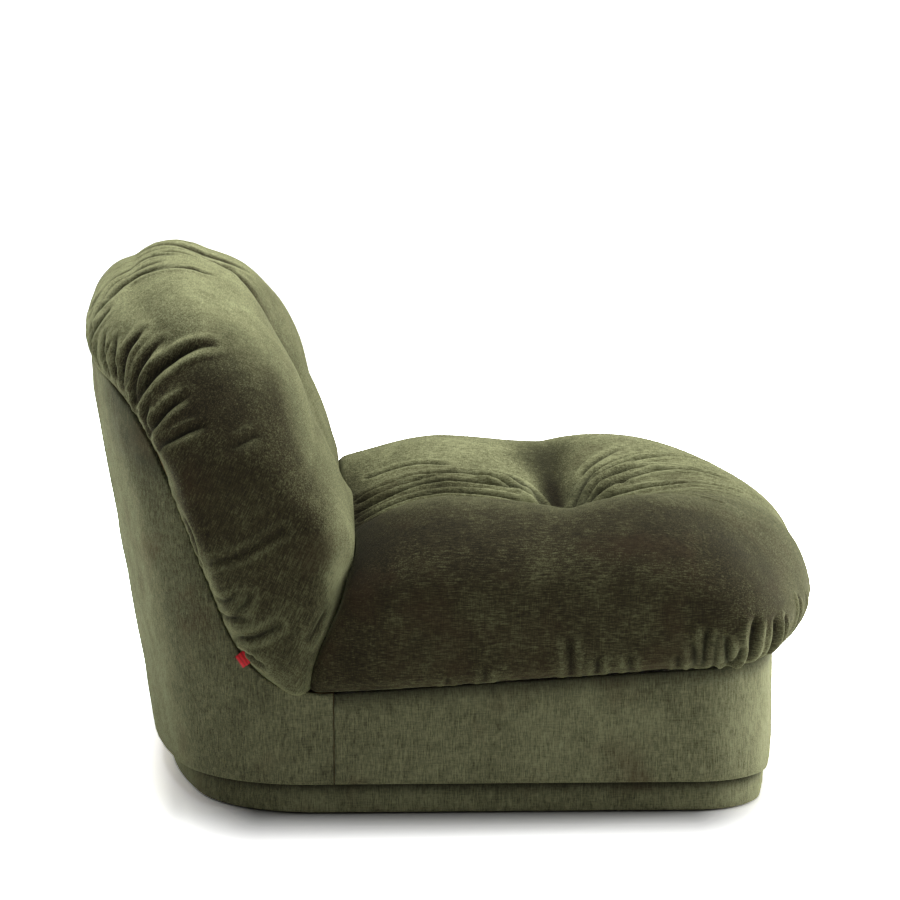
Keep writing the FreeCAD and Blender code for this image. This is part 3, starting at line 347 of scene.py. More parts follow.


# Chenille: a woven cloth of slubby pile yarns, cut and brushed, in olive green. The yarns cross at right
# angles and are about 1.5 mm wide. Its colour is dark where the surface faces the eye and is painted pale
# sage towards the silhouette, a painted sheen. The mesh adds painted light and shade in patches and in its
# folds.
YARN_ACROSS, YARN_ALONG, SLUBS, PRESSED, FADED = 640, 70, 130, 15, 8


def chenille(name, lie, warp, seed, tones, painted_sheen, painted_highlight_zone=None, shine=0.3):
    """The chair's cloth, with its warp along Z turned by lie about X. warp is how strongly the yarns along
    each axis show. tones are its dark, middle and light colours where it faces the eye, the same three for
    the painted sheen, and that of its worn patches. painted_sheen is how pale the colour is painted where
    the surface is seen from the side. painted_highlight_zone is where the colour is painted paler: whether a
    place or a facing counts, the direction it is measured along, from what, to what, and how much. shine is
    the weight of the sheen, less down in folds."""
    material, tree = finish(name)
    place = add(tree, "TexCoord")["Object"]
    turned = add(tree, "Mapping", Vector=place, Location=(seed, seed, seed), Rotation=(lie, 0, 0))[0]
    normal = add(tree, "NewGeometry")["Normal"]
    facing = add(tree, "VectorRotate", {"rotation_type": "X_AXIS"}, Vector=normal, Angle=lie)[0]
    facing = add(tree, "SeparateXYZ", Vector=vectored(tree, "ABSOLUTE", facing))
    yarns = 0.0
    for axis, strength in enumerate(warp):
        scale = [YARN_ACROSS] * 3
        scale[axis] = YARN_ALONG
        thread = add(tree, "Mapping", Vector=turned, Scale=scale)[0]
        thread = add(tree, "TexNoise", Vector=thread, Scale=1.0, Detail=3, Roughness=0.8)["Fac"]
        share = ranged(tree, facing[axis], 0.72, 0.98, strength, 0.0)
        yarns = worked(tree, "MULTIPLY_ADD", worked(tree, "SUBTRACT", thread, 0.5), share, yarns)
    slubs = add(tree, "TexNoise", Vector=turned, Scale=SLUBS, Detail=4, Roughness=0.7)["Fac"]
    pressed = add(tree, "TexNoise", Vector=turned, Scale=PRESSED, Detail=4, Roughness=0.6, Distortion=0.6)
    faded = add(tree, "TexNoise", Vector=turned, Scale=FADED, Detail=3, Roughness=0.6)["Fac"]
    painted_light = add(tree, "Attribute", {"attribute_name": "painted_light"})["Fac"]
    tone = -0.22
    for part, strength in ((yarns, 2.5), (slubs, 0.6), (pressed["Fac"], 0.85), (painted_light, 0.5)):
        tone = worked(tree, "MULTIPLY_ADD", part, strength, tone)
    shades = []
    for dark, middle, light in (tones[:3], tones[3:6]):
        ramp = tree.nodes.new("ShaderNodeValToRGB")
        ramp.color_ramp.elements[0].color = linear(dark)
        ramp.color_ramp.elements[1].color = linear(light)
        ramp.color_ramp.elements.new(0.5).color = linear(middle)
        tree.links.new(tone, ramp.inputs[0])
        shades.append(ramp.outputs[0])
    smooth = {"interpolation_type": "SMOOTHSTEP"}
    # Painted sheen: the colour turns from the first three tones to the second three towards the silhouette,
    # and the painted light and the painted highlight zone move it further
    side = add(tree, "LayerWeight", Blend=0.5)["Facing"]
    pale = ranged(tree, side, 0.35, 1.0, 0.0, painted_sheen, smooth)
    pale = worked(tree, "MULTIPLY_ADD", painted_light, 0.7, pale)
    if painted_highlight_zone:
        counts, direction, low, high, share = painted_highlight_zone
        source = place if counts == "place" else normal
        upward = vectored(tree, "DOT_PRODUCT", source, direction, result="Value")
        pale = worked(tree, "ADD", pale, ranged(tree, upward, low, high, 0.0, share, smooth))
    colour = blended(tree, pale, *shades)
    colour = blended(tree, ranged(tree, faded, 0.54, 0.68, 0.0, 0.4), colour, linear(tones[6]))
    # Painted shade: down in a fold, and wherever else the mesh asks for it, the colour goes towards near
    # black and the sheen fades
    painted_shade = add(tree, "Attribute", {"attribute_name": "painted_shade"})["Fac"]
    colour = blended(tree, worked(tree, "MULTIPLY", painted_shade, 0.85), colour, linear("#12110b"))
    raised = worked(tree, "MULTIPLY_ADD", slubs, 0.5, yarns)
    surfaced(
        tree,
        Base_Color=colour,
        Roughness=0.92,
        Specular_IOR_Level=0.12,
        Sheen_Weight=ranged(tree, painted_shade, 0.0, 0.7, shine, 0.0),
        Sheen_Roughness=0.35,
        Sheen_Tint=linear("#d4d9a2"),
        Normal=add(tree, "Bump", Strength=0.6, Distance=0.0012, Height=raised)[0],
    )
    return material


# The same cloth in two sets of tones: darker on the cushions and paler on the upright pieces, painted shade
# and painted light
UPRIGHT_TONES = ("#434330", "#757557", "#9a9b76", "#7d7e5c", "#a4a67e", "#c0c298", "#5a4531")
CUSHION_TONES = ("#19150b", "#383321", "#6a6b4c", "#55563c", "#8a8c66", "#b3b68a", "#3a2c1e")
base_chenille = chenille("green_chenille_upright", 0.0, (0.5, 0.5, 1.0), 1.7, UPRIGHT_TONES, 0.6)

front_end = [(x, -y, nx, -ny) for x, y, nx, ny in end_arcs(FRONT_REACH, FRONT_CORNER, FRONT_BOW)]
rear_end = end_arcs(REAR_REACH, REAR_CORNER, REAR_BOW)
ring = front_end[:0:-1] + straight(front_end[0][1], rear_end[0][1] - PLINTH_SETBACK)
ring += [(x, y - PLINTH_SETBACK, nx, ny) for x, y, nx, ny in rear_end]
ring = np.array(ring + [(-x, y, -nx, ny) for x, y, nx, ny in ring[-2:0:-1]])
ring = inset(ring, PLINTH_INSET)
plinth = upholstered(
    "plinth_band", ring, PLINTH_LOW, PLINTH_HIGH, 6.3 * MM, True, 0.5 * MM, 3, rear_out, 0.8 * MM
)
plinth.data.materials.append(base_chenille)
# Painted shadow along the plinth's top under the band, painted light on its front and painted shade on its
# rear
kept(plinth, "painted_shade", np.exp(-(((PLINTH_HIGH - corners(plinth)[:, 2]) / (12 * MM)) ** 2)))
paint_light_patches(plinth, [((-380, -400, 20), (120, 60, 90), 0.4), ((-380, 340, 20), (120, 60, 90), -0.5)], 0.1)
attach(plinth, "root")
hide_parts("plinth_cover", "plinth_padding")


# The base in front of the side seams: bent board behind soft padding, under one band of the chair's cloth.
# The band is closed at each side by a seam down to the plinth, and its top edge rises towards the front.

BASE_LOW, BASE_HIGH, SEAM_Y, DECK_RISE = 42.3 * MM, 164.6 * MM, 157.5 * MM, 38 * MM
SEAM_GAP, PADDING = 0.6 * MM, 8.3 * MM


def deck_height(y):
    """How high the base's top edge is."""
    return BASE_HIGH + DECK_RISE * (SEAM_Y - y) / (SEAM_Y + FRONT_REACH)


band_line = whole_round(straight(SEAM_Y - SEAM_GAP, front_end[0][1]) + front_end)
band_top = deck_height(band_line[:, 1])
band = upholstered("front_band", band_line, BASE_LOW, band_top, PADDING, False, 0.8 * MM, 8)
band.data.materials.append(base_chenille)
places = corners(band)
# Painted shadow along the band's top edge under the seat, and painted light towards its front corner
kept(band, "painted_shade", 0.85 * np.exp(-(((deck_height(places[:, 1]) - places[:, 2]) / (16 * MM)) ** 2)))
paint_light_patches(band, [((-400, -200, 110), (90, 300, 200), 0.18), ((-370, -420, 110), (90, 60, 200), 0.4)])
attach(band, "root")
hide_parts("front_band_cover", "front_band_padding")


# The shell round the back: the same board, padding and cloth, leaning back as it rises to the seam under the
# back cushion. The cloth is cut to the seam's curve and sewn to the band at each side.

SHELL_HIGH, LEAN = 572 * MM, 82 * MM
LEAN_RISES, LEAN_SHARES = (0, 0.167, 0.904, 1), (0, 0.145, 0.957, 1)
SEAM_FOOT_Y, SEAM_REAR_Y = 178 * MM, 489.5 * MM
SEAM_DEPTHS = (0, 0.1, 0.2, 0.275, 0.34, 0.39, 0.62, 0.7, 0.79, 0.89, 1)
SEAM_RISES = (0, 0.012, 0.04, 0.079, 0.135, 0.203, 0.654, 0.79, 0.904, 0.97, 1)
# Darker patches high on the shell, under the back cushion's seam, darkened as the painted shade is
SHELL_DARK_PATCHES = (
    ((-265, 446, 545), (90, 60, 38), 0.45),
    ((-275, 440, 492), (80, 60, 30), 0.4),
    ((-335, 405, 468), (45, 40, 30), 0.35),
)
# Painted light and shade in patches: darker high on the shell under the back cushion's seam
SHELL_PAINTED_LIGHT = (
    ((-380, 445, 545), (110, 45, 65), -1.5),
    ((-390, 430, 490), (90, 50, 80), -1.1),
    ((-390, 370, 350), (90, 90, 130), -0.3),
    ((-400, 335, 370), (60, 30, 90), -0.3),
    ((-390, 320, 150), (90, 60, 90), -0.15),
)


def seam_height(y):
    depth = (y - SEAM_FOOT_Y) / (SEAM_REAR_Y - SEAM_FOOT_Y)
    return BASE_HIGH + (SHELL_HIGH - BASE_HIGH) * np.interp(depth, SEAM_DEPTHS, SEAM_RISES)


def lean_back(py, y, z):
    """The side stretches and the rear moves back with height."""
    run = np.clip((y - SEAM_Y) / (rear_end[0][1] - SEAM_Y), 0, 1)
    return py + run * LEAN * np.interp((z - BASE_LOW) / (SHELL_HIGH - BASE_LOW), LEAN_RISES, LEAN_SHARES)


shell_line = whole_round(straight(SEAM_Y + SEAM_GAP, rear_end[0][1]) + rear_end)
# Each place round the shell leans back as far as its own height says, so its top is found by halving
y = shell_line[:, 1]
lowest, highest = np.full(len(y), BASE_HIGH), np.full(len(y), SHELL_HIGH + 20 * MM)
for _ in range(40):
    middle = (lowest + highest) / 2
    under = middle < seam_height(lean_back(y, y, middle))
    lowest, highest = np.where(under, middle, lowest), np.where(under, highest, middle)
shell = upholstered("back_shell", shell_line, BASE_LOW, lowest, PADDING, False, 0.7 * MM, 21, lean_back)
shell.data.materials.append(base_chenille)
places = corners(shell) / MM
kept(shell, "painted_shade", np.max([amount * nearness(places, *spot) for *spot, amount in SHELL_DARK_PATCHES], axis=0))
paint_light_patches(shell, SHELL_PAINTED_LIGHT)
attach(shell, "root")
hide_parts("back_shell_cover", "back_shell_padding")


# The seat cushion: a sewn cover over a foam core and fibre, drawn down by a twine to one deep tuft in the
# middle. The cloth is gathered into the seam round its foot, and creases run from the tuft to the front and
# the rear.

# A fold's place is given in millimetres. Its swell reaches out to this many times its width, it is pressed
# in only on the side of the cushion where its line runs, and this share of its length fades out at each end
FOLD_SPREAD, FOLD_SIDE, FOLD_FADE = 4.5, 30 * MM, 0.35
WIDEST = 263.7 * MM


def even_skin(name, node, voxel=5 * MM, smooth=6):
    """A new piece with a CAD node's outer form, as one closed skin of even squares."""
    mesh = frame["nodes"][node].data.copy()
    mesh.materials.clear()
    piece = linked(name, mesh)
    shaped(piece, "WELD", merge_threshold=0.01 * MM)
    shaped(piece, "REMESH", mode="VOXEL", voxel_size=voxel)
    shaped(piece, "SMOOTH", factor=0.5, iterations=smooth)
    return piece


def set_corners(piece, places):
    piece.data.vertices.foreach_set("co", np.ascontiguousarray(places, dtype=np.float32).ravel())
    piece.data.update()


def flowing(points, gap=7 * MM):
    """Points close together on a smooth curve through a fold's points, given in millimetres."""
    p = np.array(points, float) * MM
    if len(p) == 2:
        p = np.array([p[0], (p[0] + p[1]) / 2, p[1]])
    ends = np.vstack([2 * p[0] - p[1], p, 2 * p[-1] - p[-2]])
    line = []
    for a, b, c, d in zip(ends, ends[1:], ends[2:], ends[3:]):
        count = max(2, int(np.linalg.norm(c - b) / gap))
        for t in np.arange(count) / count:
            curve = 2 * b + (c - a) * t + (2 * a - 5 * b + 4 * c - d) * t**2 + (3 * b - a - 3 * c + d) * t**3
            line.append(0.5 * curve)
    return np.array(line + [p[-1]])


def fading(along, least):
    """1 away from a fold's end, and down to least at it."""
    return np.minimum(1, least + (1 - least) * np.sin(np.clip(along / FOLD_FADE, 0, 1) * math.pi / 2))


class Cloth:
    """A cushion's skin while folds are pressed in: its corners, their outward directions and its surface."""

    def __init__(self, piece):
        self.piece = piece
        self.faces = [tuple(p.vertices) for p in piece.data.polygons]
        # closed is the painted shade down in the folds, and ridge_highlights the painted highlight along
        # their ridges
        self.closed = np.zeros(len(piece.data.vertices))
        self.ridge_highlights = np.zeros(len(piece.data.vertices))
        self.measure()

    def measure(self):
        self.places = corners(self.piece)
        self.out = np.empty(self.places.size)
        self.piece.data.vertex_normals.foreach_get("vector", self.out)
        self.out = self.out.reshape(-1, 3)
        self.tree = BVHTree.FromPolygons(self.places.tolist(), self.faces)
        self.moved = self.places.copy()

    def on_skin(self, line):
        return np.array([tuple(self.tree.find_nearest(p)[0]) for p in line.tolist()])

    def fold(self, points, wide, deep, start=0.0, end=0.0, ridge=0.35, lap=0.0):
        """Presses one fold along points. wide and deep are in millimetres, start and end the share of depth
        there."""
        line = self.on_skin(flowing(points))
        wide, deep = wide * MM, deep * MM
        reach = FOLD_SPREAD * wide
        near = np.all((self.places > line.min(0) - reach) & (self.places < line.max(0) + reach), axis=1)
        spots = np.flatnonzero(near)
        if not len(spots):
            return
        here, out = self.places[spots], self.out[spots]
        step = line[1:] - line[:-1]
        size = np.maximum((step**2).sum(1), 1e-12)
        rel = here[:, None, :] - line[None, :-1]
        t = np.clip((rel * step[None]).sum(2) / size[None], 0, 1)
        off = rel - t[:, :, None] * step[None]
        best = np.linalg.norm(off, axis=2).argmin(1)
        rows = np.arange(len(spots))
        off, t = off[rows, best], t[rows, best]
        height = (off * out).sum(1)
        flat = off - height[:, None] * out
        q = np.linalg.norm(flat, axis=1) / wide
        along = (best + t) / len(step)
        taper = fading(along, start) * fading(1 - along, end) * (np.abs(height) < FOLD_SIDE)
        shape = -np.exp(-1.25 * q**1.35) + ridge * np.exp(-(((q - 2.3) / 1.05) ** 2))
        shape *= np.clip((FOLD_SPREAD - q) / 1.5, 0, 1)
        self.moved[spots] += out * (shape * taper * deep)[:, None]
        # The painted shade down in the fold, and the painted highlight along its ridges
        taper *= min(1, deep / (6 * MM))
        self.closed[spots] = np.maximum(self.closed[spots], np.exp(-1.1 * q**2) * taper)
        self.ridge_highlights[spots] = np.maximum(self.ridge_highlights[spots], np.exp(-(((q - 2.3) / 0.9) ** 2)) * taper)
        if lap:
            side = np.cross(step[best], out)
            side /= np.maximum(np.linalg.norm(side, axis=1), 1e-9)[:, None]
            pull = lap * MM * taper * np.exp(-((q - 1.2) ** 2)) * np.sign((flat * side).sum(1))
            self.moved[spots] -= side * pull[:, None]

    def shadow(self, points, wide, most):
        """Paints shadow in a soft, wide band along points, most at their start, into the painted shade."""
        line = self.on_skin(flowing(points))
        for i, spot in enumerate(line):
            share = nearness(self.places, spot, wide * MM) * most * (1 - 0.4 * i / len(line))
            self.closed = np.maximum(self.closed, share)

    def settle(self):
        """Takes the moved corners as the new skin."""
        set_corners(self.piece, self.moved)
        self.measure()


def mirrored_fold(points, shift):
    return [(-x, y + shift, z) for x, y, z in points]


def swell(places, centre, reach, move, both):
    """Moves what lies round a place, less and less outwards, all in millimetres. both does the same on the
    other side."""
    for sign in (1, -1) if both else (1,):
        mirror = MM * np.array((sign, 1, 1))
        share = nearness(places, centre * mirror, np.array(reach) * MM)
        places += share[:, None] * move * mirror


# Painted highlight: the far half of the seat is painted paler
far_half_painted_highlight = ("place", (1, 0, 0), -0.16, 0.2, 0.85)
seat_warp = (0.6, 1.0, 0.5)
seat_chenille = chenille("green_chenille_seat", 0.0, seat_warp, 4.1, CUSHION_TONES, 0.25, far_half_painted_highlight, 0.14)

seat = even_skin("seat_cushion", "seat_cover")
places = corners(seat)

# Below its widest line the side hangs fuller than the core, down to the edge of the base and a little past it
share = np.abs(places[:, 0]) / (430 * MM)
was = np.interp(share, (0.54, 0.68, 0.82, 0.92, 0.98, 1), (1, 0.965, 0.86, 0.7, 0.5, 0.34))
now = np.interp(share, (0.54, 0.82, 0.92, 0.96, 0.985, 1), (1, 1, 0.985, 0.95, 0.85, 0.62))
lip = np.clip((np.abs(places[:, 0]) - 410 * MM) / (8 * MM), 0, 1)
droop = 6 + 4 * np.clip(places[:, 1] / (140 * MM), 0, 1)
lowest = deck_height(places[:, 1]) + (0.5 - droop * lip) * MM
hung = np.maximum(WIDEST + (places[:, 2] - WIDEST) * now / was, lowest)
front = np.clip((places[:, 1] + 470 * MM) / (40 * MM), 0, 1)
places[:, 2] = np.where(places[:, 2] < WIDEST, places[:, 2] + (hung - places[:, 2]) * front, places[:, 2])

# The top rounds off towards the back cushion, less on the far side
rear = np.clip((places[:, 1] - 30 * MM) / (120 * MM), 0, 1) ** 1.5
rear *= 1 - 0.75 * np.clip((places[:, 0] - 40 * MM) / (150 * MM), 0, 1)
places[:, 2] -= 20 * MM * rear * np.clip((places[:, 2] - 250 * MM) / (60 * MM), 0, 1)

for row in (
    # The front is full at both sides, and the middle is drawn down
    ((215, -475, 265), (170, 120, 75), (0, -13, 0), True),
    ((0, -165, 312), (28, 28, 40), (0, 0, -27), False),
    # A valley leads from there to the far side, and a shallow one to the near side
    ((55, -170, 355), (55, 30, 60), (0, 0, -20), False),
    ((125, -155, 372), (60, 34, 60), (0, 0, -8), False),
    ((225, -112, 380), (75, 42, 60), (0, 0, -8), False),
    ((-60, -170, 355), (50, 28, 60), (0, 0, -7), False),
    # The rear corners are pressed into the back cushion, and the tuft is deepest in its middle
    ((408, 170, 262), (60, 55, 140), (-22, 24, 0), True),
    ((8, -166, 322), (18, 14, 40), (0, 0, -18), False),
    ((395, 180, 190), (60, 40, 50), (0, 20, -3), True),
    ((260, 160, 345), (190, 50, 50), (0, 26, 4), False),
):
    swell(places, *row)
set_corners(seat, places)
shaped(seat, "SUBSURF", levels=1, render_levels=1)

# Creases that run out from the tuft over the far lobe's inner slope, and their likes on the near one.
# Each has its width, its depth and its points.
cloth = Cloth(seat)
TUFT_CREASES = (
    (5, 7, (20, 125, 335), (26, 76, 345), (28, 28, 349), (31, -12, 353), (38, -60, 350), (34, -110, 342),
     (14, -148, 322)),
    (4.5, 7, (51, 125, 328), (54, 87, 344), (64, 23, 360), (69, -53, 359), (62, -112, 349), (20, -152, 325)),
    (4.5, 5, (79, 126, 335), (73, 94, 346), (74, 60, 356), (76, 35, 361), (80, 19, 365)),
    (5, 8, (92, 126, 337), (98, 56, 362), (93, -4, 369), (97, -34, 368), (79, -93, 356), (57, -122, 346),
     (22, -156, 325)),
    (5, 4, (147, 105, 357), (148, 61, 371), (145, 33, 376), (132, -10, 376)),
    (4.5, 6, (108, -28, 371), (110, -64, 367), (99, -94, 361), (57, -135, 344), (20, -159, 325)),
    (4, 5, (119, -74, 367), (102, -104, 360), (72, -132, 349), (24, -162, 325)),
    (5, 7, (14, -182, 322), (30, -225, 345), (35, -257, 351), (36, -291, 359), (25, -329, 364),
     (20, -377, 362), (24, -414, 354)),
    (5, 7, (18, -180, 324), (45, -221, 347), (66, -247, 360), (84, -294, 371), (85, -324, 374),
     (82, -358, 373), (72, -400, 362)),
    (4, 4, (31, -196, 337), (49, -216, 348), (59, -239, 356), (60, -263, 361)),
    (5, 6, (20, -177, 326), (54, -205, 347), (88, -236, 363), (107, -267, 372), (108, -299, 375),
     (96, -345, 376)),
    (5, 7, (22, -172, 326), (62, -186, 346), (94, -212, 360), (133, -268, 377), (151, -329, 383),
     (170, -380, 375)),
    (4.5, 5, (24, -168, 326), (69, -181, 347), (124, -226, 369), (155, -280, 384), (160, -325, 385)),
    (5, 3, (119, -199, 363), (146, -215, 373), (166, -236, 382), (184, -257, 389)),
)
for wide, deep, *line in TUFT_CREASES:
    cloth.fold(line, 0.92 * wide, 1.4 * deep, start=0.6, end=0.3, ridge=0.5, lap=1.2)
for wide, deep, *line in TUFT_CREASES[::-1]:
    cloth.fold(mirrored_fold(line, 7), wide, 0.7 * deep, start=0.45, end=0.3, ridge=0.45, lap=1.2)
cloth.settle()

# Pleats where the side's and the front's fullness is taken into the seam at the foot
SEAT_PLEATS = (
    (4, 5, (-424, -293, 222), (-416, -295, 195)),
    (4.5, 6, (-430, -313, 240), (-424, -315, 215), (-414, -317, 196)),
    (4.5, 6, (-430, -333, 262), (-429, -328, 227), (-416, -327, 197)),
    (4, 4, (-430, -343, 251), (-425, -342, 219), (-414, -340, 198)),
    (5, 6, (-428, -356, 249), (-424, -357, 225), (-414, -361, 199)),
    (4, 5, (-418, -378, 233), (-412, -370, 215), (-407, -361, 200)),
    (6, 9, (-413, -398, 272), (-413, -393, 240), (-398, -389, 202)),
    (5.5, 7, (-387, -428, 264), (-381, -427, 233), (-366, -423, 203)),
    (5, 7, (-355, -450, 259), (-361, -445, 243), (-345, -435, 208)),
    (5, 6, (-281, -475, 273), (-297, -472, 250), (-310, -453, 215)),
    (5, 5, (-430, -150, 250), (-426, -152, 222), (-416, -154, 188)),
    (4.5, 5, (-428, -188, 221), (-423, -188, 205), (-416, -188, 190)),
    (4.5, 4, (-425, -41, 205), (-421, -41, 190), (-416, -41, 180)),
    (4, 4, (-424, 8, 190), (-416, 9, 174)),
    (4.5, 4, (-423, -230, 225), (-416, -232, 190)),
    (5, 6, (-220, -484, 262), (-232, -474, 238), (-240, -450, 210)),
    (5, 5, (-150, -487, 265), (-150, -478, 238), (-146, -455, 210)),
    (5, 6, (-85, -488, 260), (-88, -478, 235), (-84, -452, 208)),
    (5, 5, (-30, -488, 270), (-26, -478, 240), (-28, -455, 210)),
    (5, 5, (20, -488, 262), (22, -478, 238), (16, -452, 208)),
)
for wide, deep, *line in SEAT_PLEATS:
    cloth.fold(line, 1.05 * wide, deep, start=0.0, end=0.9, ridge=0.45, lap=0.8)
    cloth.fold(mirrored_fold(line, 9), 1.2 * wide, 0.85 * deep, start=0.0, end=0.8, ridge=0.4, lap=0.8)
cloth.settle()
# Painted shadow down in the tuft and along the valley beyond it, then painted light and shade in patches over
# the seat, and painted highlights along the folds' ridges
cloth.shadow([(0, -165, 300), (4, -166, 318)], 26, 0.95)
cloth.shadow([(12, -178, 330), (40, -182, 343), (65, -180, 352), (95, -172, 362)], 13, 0.85)
kept(seat, "painted_shade", cloth.closed)
SEAT_PAINTED_LIGHT = (
    ((35, -164, 345), (45, 14, 90), -0.8),
    ((105, -156, 365), (50, 20, 90), -1.0),
    ((205, -154, 380), (80, 42, 60), -1.0),
    ((70, -122, 355), (70, 12, 60), 0.4),
    ((75, -235, 360), (45, 40, 60), -0.5),
    ((-400, 130, 400), (140, 50, 110), -0.6),
    ((-120, 142, 380), (300, 44, 110), -1.7),
    ((-380, 50, 390), (70, 90, 80), -0.6),
    ((-350, -170, 400), (60, 160, 70), -0.3),
    ((-370, -330, 380), (90, 80, 100), -0.45),
    ((-400, -395, 320), (110, 60, 65), -0.3),
    ((-400, -360, 225), (110, 90, 35), 0.22),
    ((60, 0, 360), (60, 60, 90), -0.5),
)
paint_light_patches(seat, SEAT_PAINTED_LIGHT, 0.35 * cloth.ridge_highlights)
made_smooth(seat)
seat.data.materials.append(seat_chenille)
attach(seat, "root")
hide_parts("seat_cover", "seat_foam_core", "seat_fibre_filling")


# The back cushion: made as the seat is, and bent over the back frame's top rail from the seat to the
# shell's seam. Its cloth is gathered along that seam and creased down its middle to the tuft.

# Painted highlight: the back cushion is painted paler where it faces up
painted_top_highlight = ("facing", (0, 0.1, 1), 0.4, 1.0, 0.85)
back_lie = math.radians(-24)
back_chenille = chenille("green_chenille_back", back_lie, (0.6, 0.5, 1.0), 9.3, CUSHION_TONES, 0.7, painted_top_highlight)

back = even_skin("back_cushion", "back_cover")
places = corners(back)
for row in (
    # Both lobes are full, and the middle is drawn in to the tuft
    ((200, 205, 560), (150, 90, 70), (0, -10, 2), True),
    ((150, 285, 655), (85, 60, 50), (0, -5, 5), True),
    ((0, 335, 700), (26, 60, 30), (0, 4, -14), False),
    ((0, 272, 645), (26, 42, 50), (0, 16, -10), False),
    ((0, 215, 560), (32, 42, 70), (0, 14, 0), False),
    # The lower corners hang down over the seat's ends
    ((405, 200, 176), (60, 60, 40), (8, 0, -8), True),
    ((412, 195, 172), (60, 26, 22), (3, 4, -6), True),
    ((420, 175, 260), (60, 34, 110), (8, -2, 0), True),
):
    swell(places, *row)

# The sides draw back from the seat as they go down, and the far lobe sits a little deeper than the near one
x, y, z = places.T / MM
share = np.clip((np.abs(x) - 290) / 90, 0, 1) * np.clip((280 - y) / 90, 0, 1)
drawn = np.interp(z, (168, 181, 203, 226, 250, 281, 304, 343, 380), (10, 13, 17, 18, 14, 12, 11, 2, 0))
y = y + share * drawn
share = np.clip(x / 110, 0, 1) * np.clip((300 - y) / 90, 0, 1)
deeper = np.interp(z, (300, 350, 390, 430, 475, 540, 600), (6, 18, 18, 13, 8, 3, 0))
y = y + share * deeper
places[:, 1] = y * MM
set_corners(back, places)
shaped(back, "SUBSURF", levels=1, render_levels=1)
cloth = Cloth(back)
BACK_CREASES = (
    (7, 9, (-30, 262, 640), (-18, 285, 664), (-8, 318, 684), (-2, 345, 697), (2, 380, 702), (4, 420, 690)),
    (5, 6, (-92, 273, 654), (-69, 284, 665), (-40, 306, 681), (-32, 341, 696), (-34, 380, 706),
     (-44, 420, 692)),
    (5, 4, (-59, 344, 701), (-65, 365, 708), (-63, 386, 708)),
    (5, 7, (-127, 317, 681), (-135, 342, 691), (-144, 368, 697), (-147, 393, 694), (-143, 430, 677),
     (-165, 452, 661), (-171, 475, 635)),
    (4.5, 4, (-122, 353, 697), (-137, 381, 698), (-139, 404, 692), (-143, 430, 676), (-160, 455, 655)),
    (5, 6, (-83, 375, 707), (-77, 401, 704), (-80, 428, 690), (-95, 450, 677), (-114, 467, 662),
     (-124, 480, 640)),
    (5, 6, (-113, 389, 702), (-114, 421, 688), (-125, 446, 673), (-151, 466, 654), (-166, 476, 635),
     (-187, 479, 608)),
    (5.5, 7, (-290, 407, 634), (-298, 417, 622), (-302, 427, 608), (-307, 432, 593), (-314, 433, 568)),
    (6.5, 9, (-340, 312, 619), (-344, 332, 619), (-346, 352, 611), (-348, 372, 598), (-353, 392, 581),
     (-352, 416, 545)),
    (5.5, 7, (-321, 383, 621), (-328, 396, 609), (-335, 408, 590), (-341, 416, 568), (-345, 420, 545)),
    (5.5, 7, (-385, 347, 558), (-387, 362, 550), (-388, 374, 540), (-388, 387, 525), (-376, 396, 508)),
    (5, 6, (-411, 322, 524), (-410, 342, 518), (-410, 362, 508), (-396, 380, 494)),
    (6, 3, (-409, 252, 512), (-419, 272, 504), (-425, 292, 495)),
    (5, 6, (-195, 454, 649), (-200, 466, 632), (-191, 477, 612), (-195, 482, 592)),
    (5, 6, (-235, 460, 619), (-250, 461, 595), (-269, 454, 575)),
    (5, 6, (-268, 443, 618), (-283, 445, 595), (-300, 441, 570)),
    (5, 5, (-370, 397, 547), (-370, 401, 535), (-372, 400, 515)),
    (5, 3, (-403, 329, 341), (-430, 307, 349), (-430, 290, 353), (-430, 270, 361), (-430, 222, 390)),
    (5, 5, (-405, 290, 238), (-422, 277, 245), (-429, 260, 247), (-430, 230, 262)),
    (5, 5, (-386, 308, 268), (-423, 291, 271), (-430, 274, 272)),
    (5, 4, (-400, 310, 293), (-427, 296, 295), (-430, 285, 301)),
    (6, 3, (-415, 170, 284), (-420, 182, 265), (-422, 193, 246)),
    (5, 4, (-392, 285, 212), (-405, 272, 221), (-415, 249, 211)),
    (5, 4, (-406, 352, 403), (-409, 341, 378), (-394, 330, 339)),
    (5, 4, (-426, 291, 277), (-430, 273, 290), (-430, 268, 301)),
)
for wide, deep, *line in BACK_CREASES:
    cloth.fold(line, wide, deep, start=0.25, end=0.7, ridge=0.35, lap=1.2)
    cloth.fold(mirrored_fold(line, 6), wide, 0.6 * deep, start=0.25, end=0.7, ridge=0.3, lap=1.2)

# Small gathers where the cover is sewn to the shell, all along the seam
BACK_SEAM = (
    (0, 491, 583), (122, 482, 582), (254, 453, 567), (320, 424, 533), (346, 397, 486), (362, 371, 431),
    (370, 352, 379), (377, 333, 327), (383, 313, 274), (391, 287, 222), (402, 242, 181),
)
rng = np.random.default_rng(12)
for sign in (-1, 1):
    seam = flowing([(sign * x, y, z) for x, y, z in BACK_SEAM])
    at = 2
    while at < len(seam) - 2:
        start = seam[at]
        along = seam[at + 1] - seam[at - 1]
        normal = cloth.tree.find_nearest(start.tolist())[1]
        up = np.cross(np.array(normal), along / np.linalg.norm(along))
        up *= 1 if up @ np.array([0, -0.5, 1]) > 0 else -1
        up += rng.normal(0, 0.09, 3)
        length = rng.uniform(26, 60) * MM
        line = np.array([start + up * length * s for s in (0.02, 0.45, 1)])
        deep = rng.uniform(1.6, 3.6) * np.interp(start[2] / MM, (420, 540), (0.55, 1))
        cloth.fold((line / MM).tolist(), rng.uniform(3.2, 4.4), deep, start=0.7, end=0.0, ridge=0.35)
        at += int(rng.integers(2, 5))
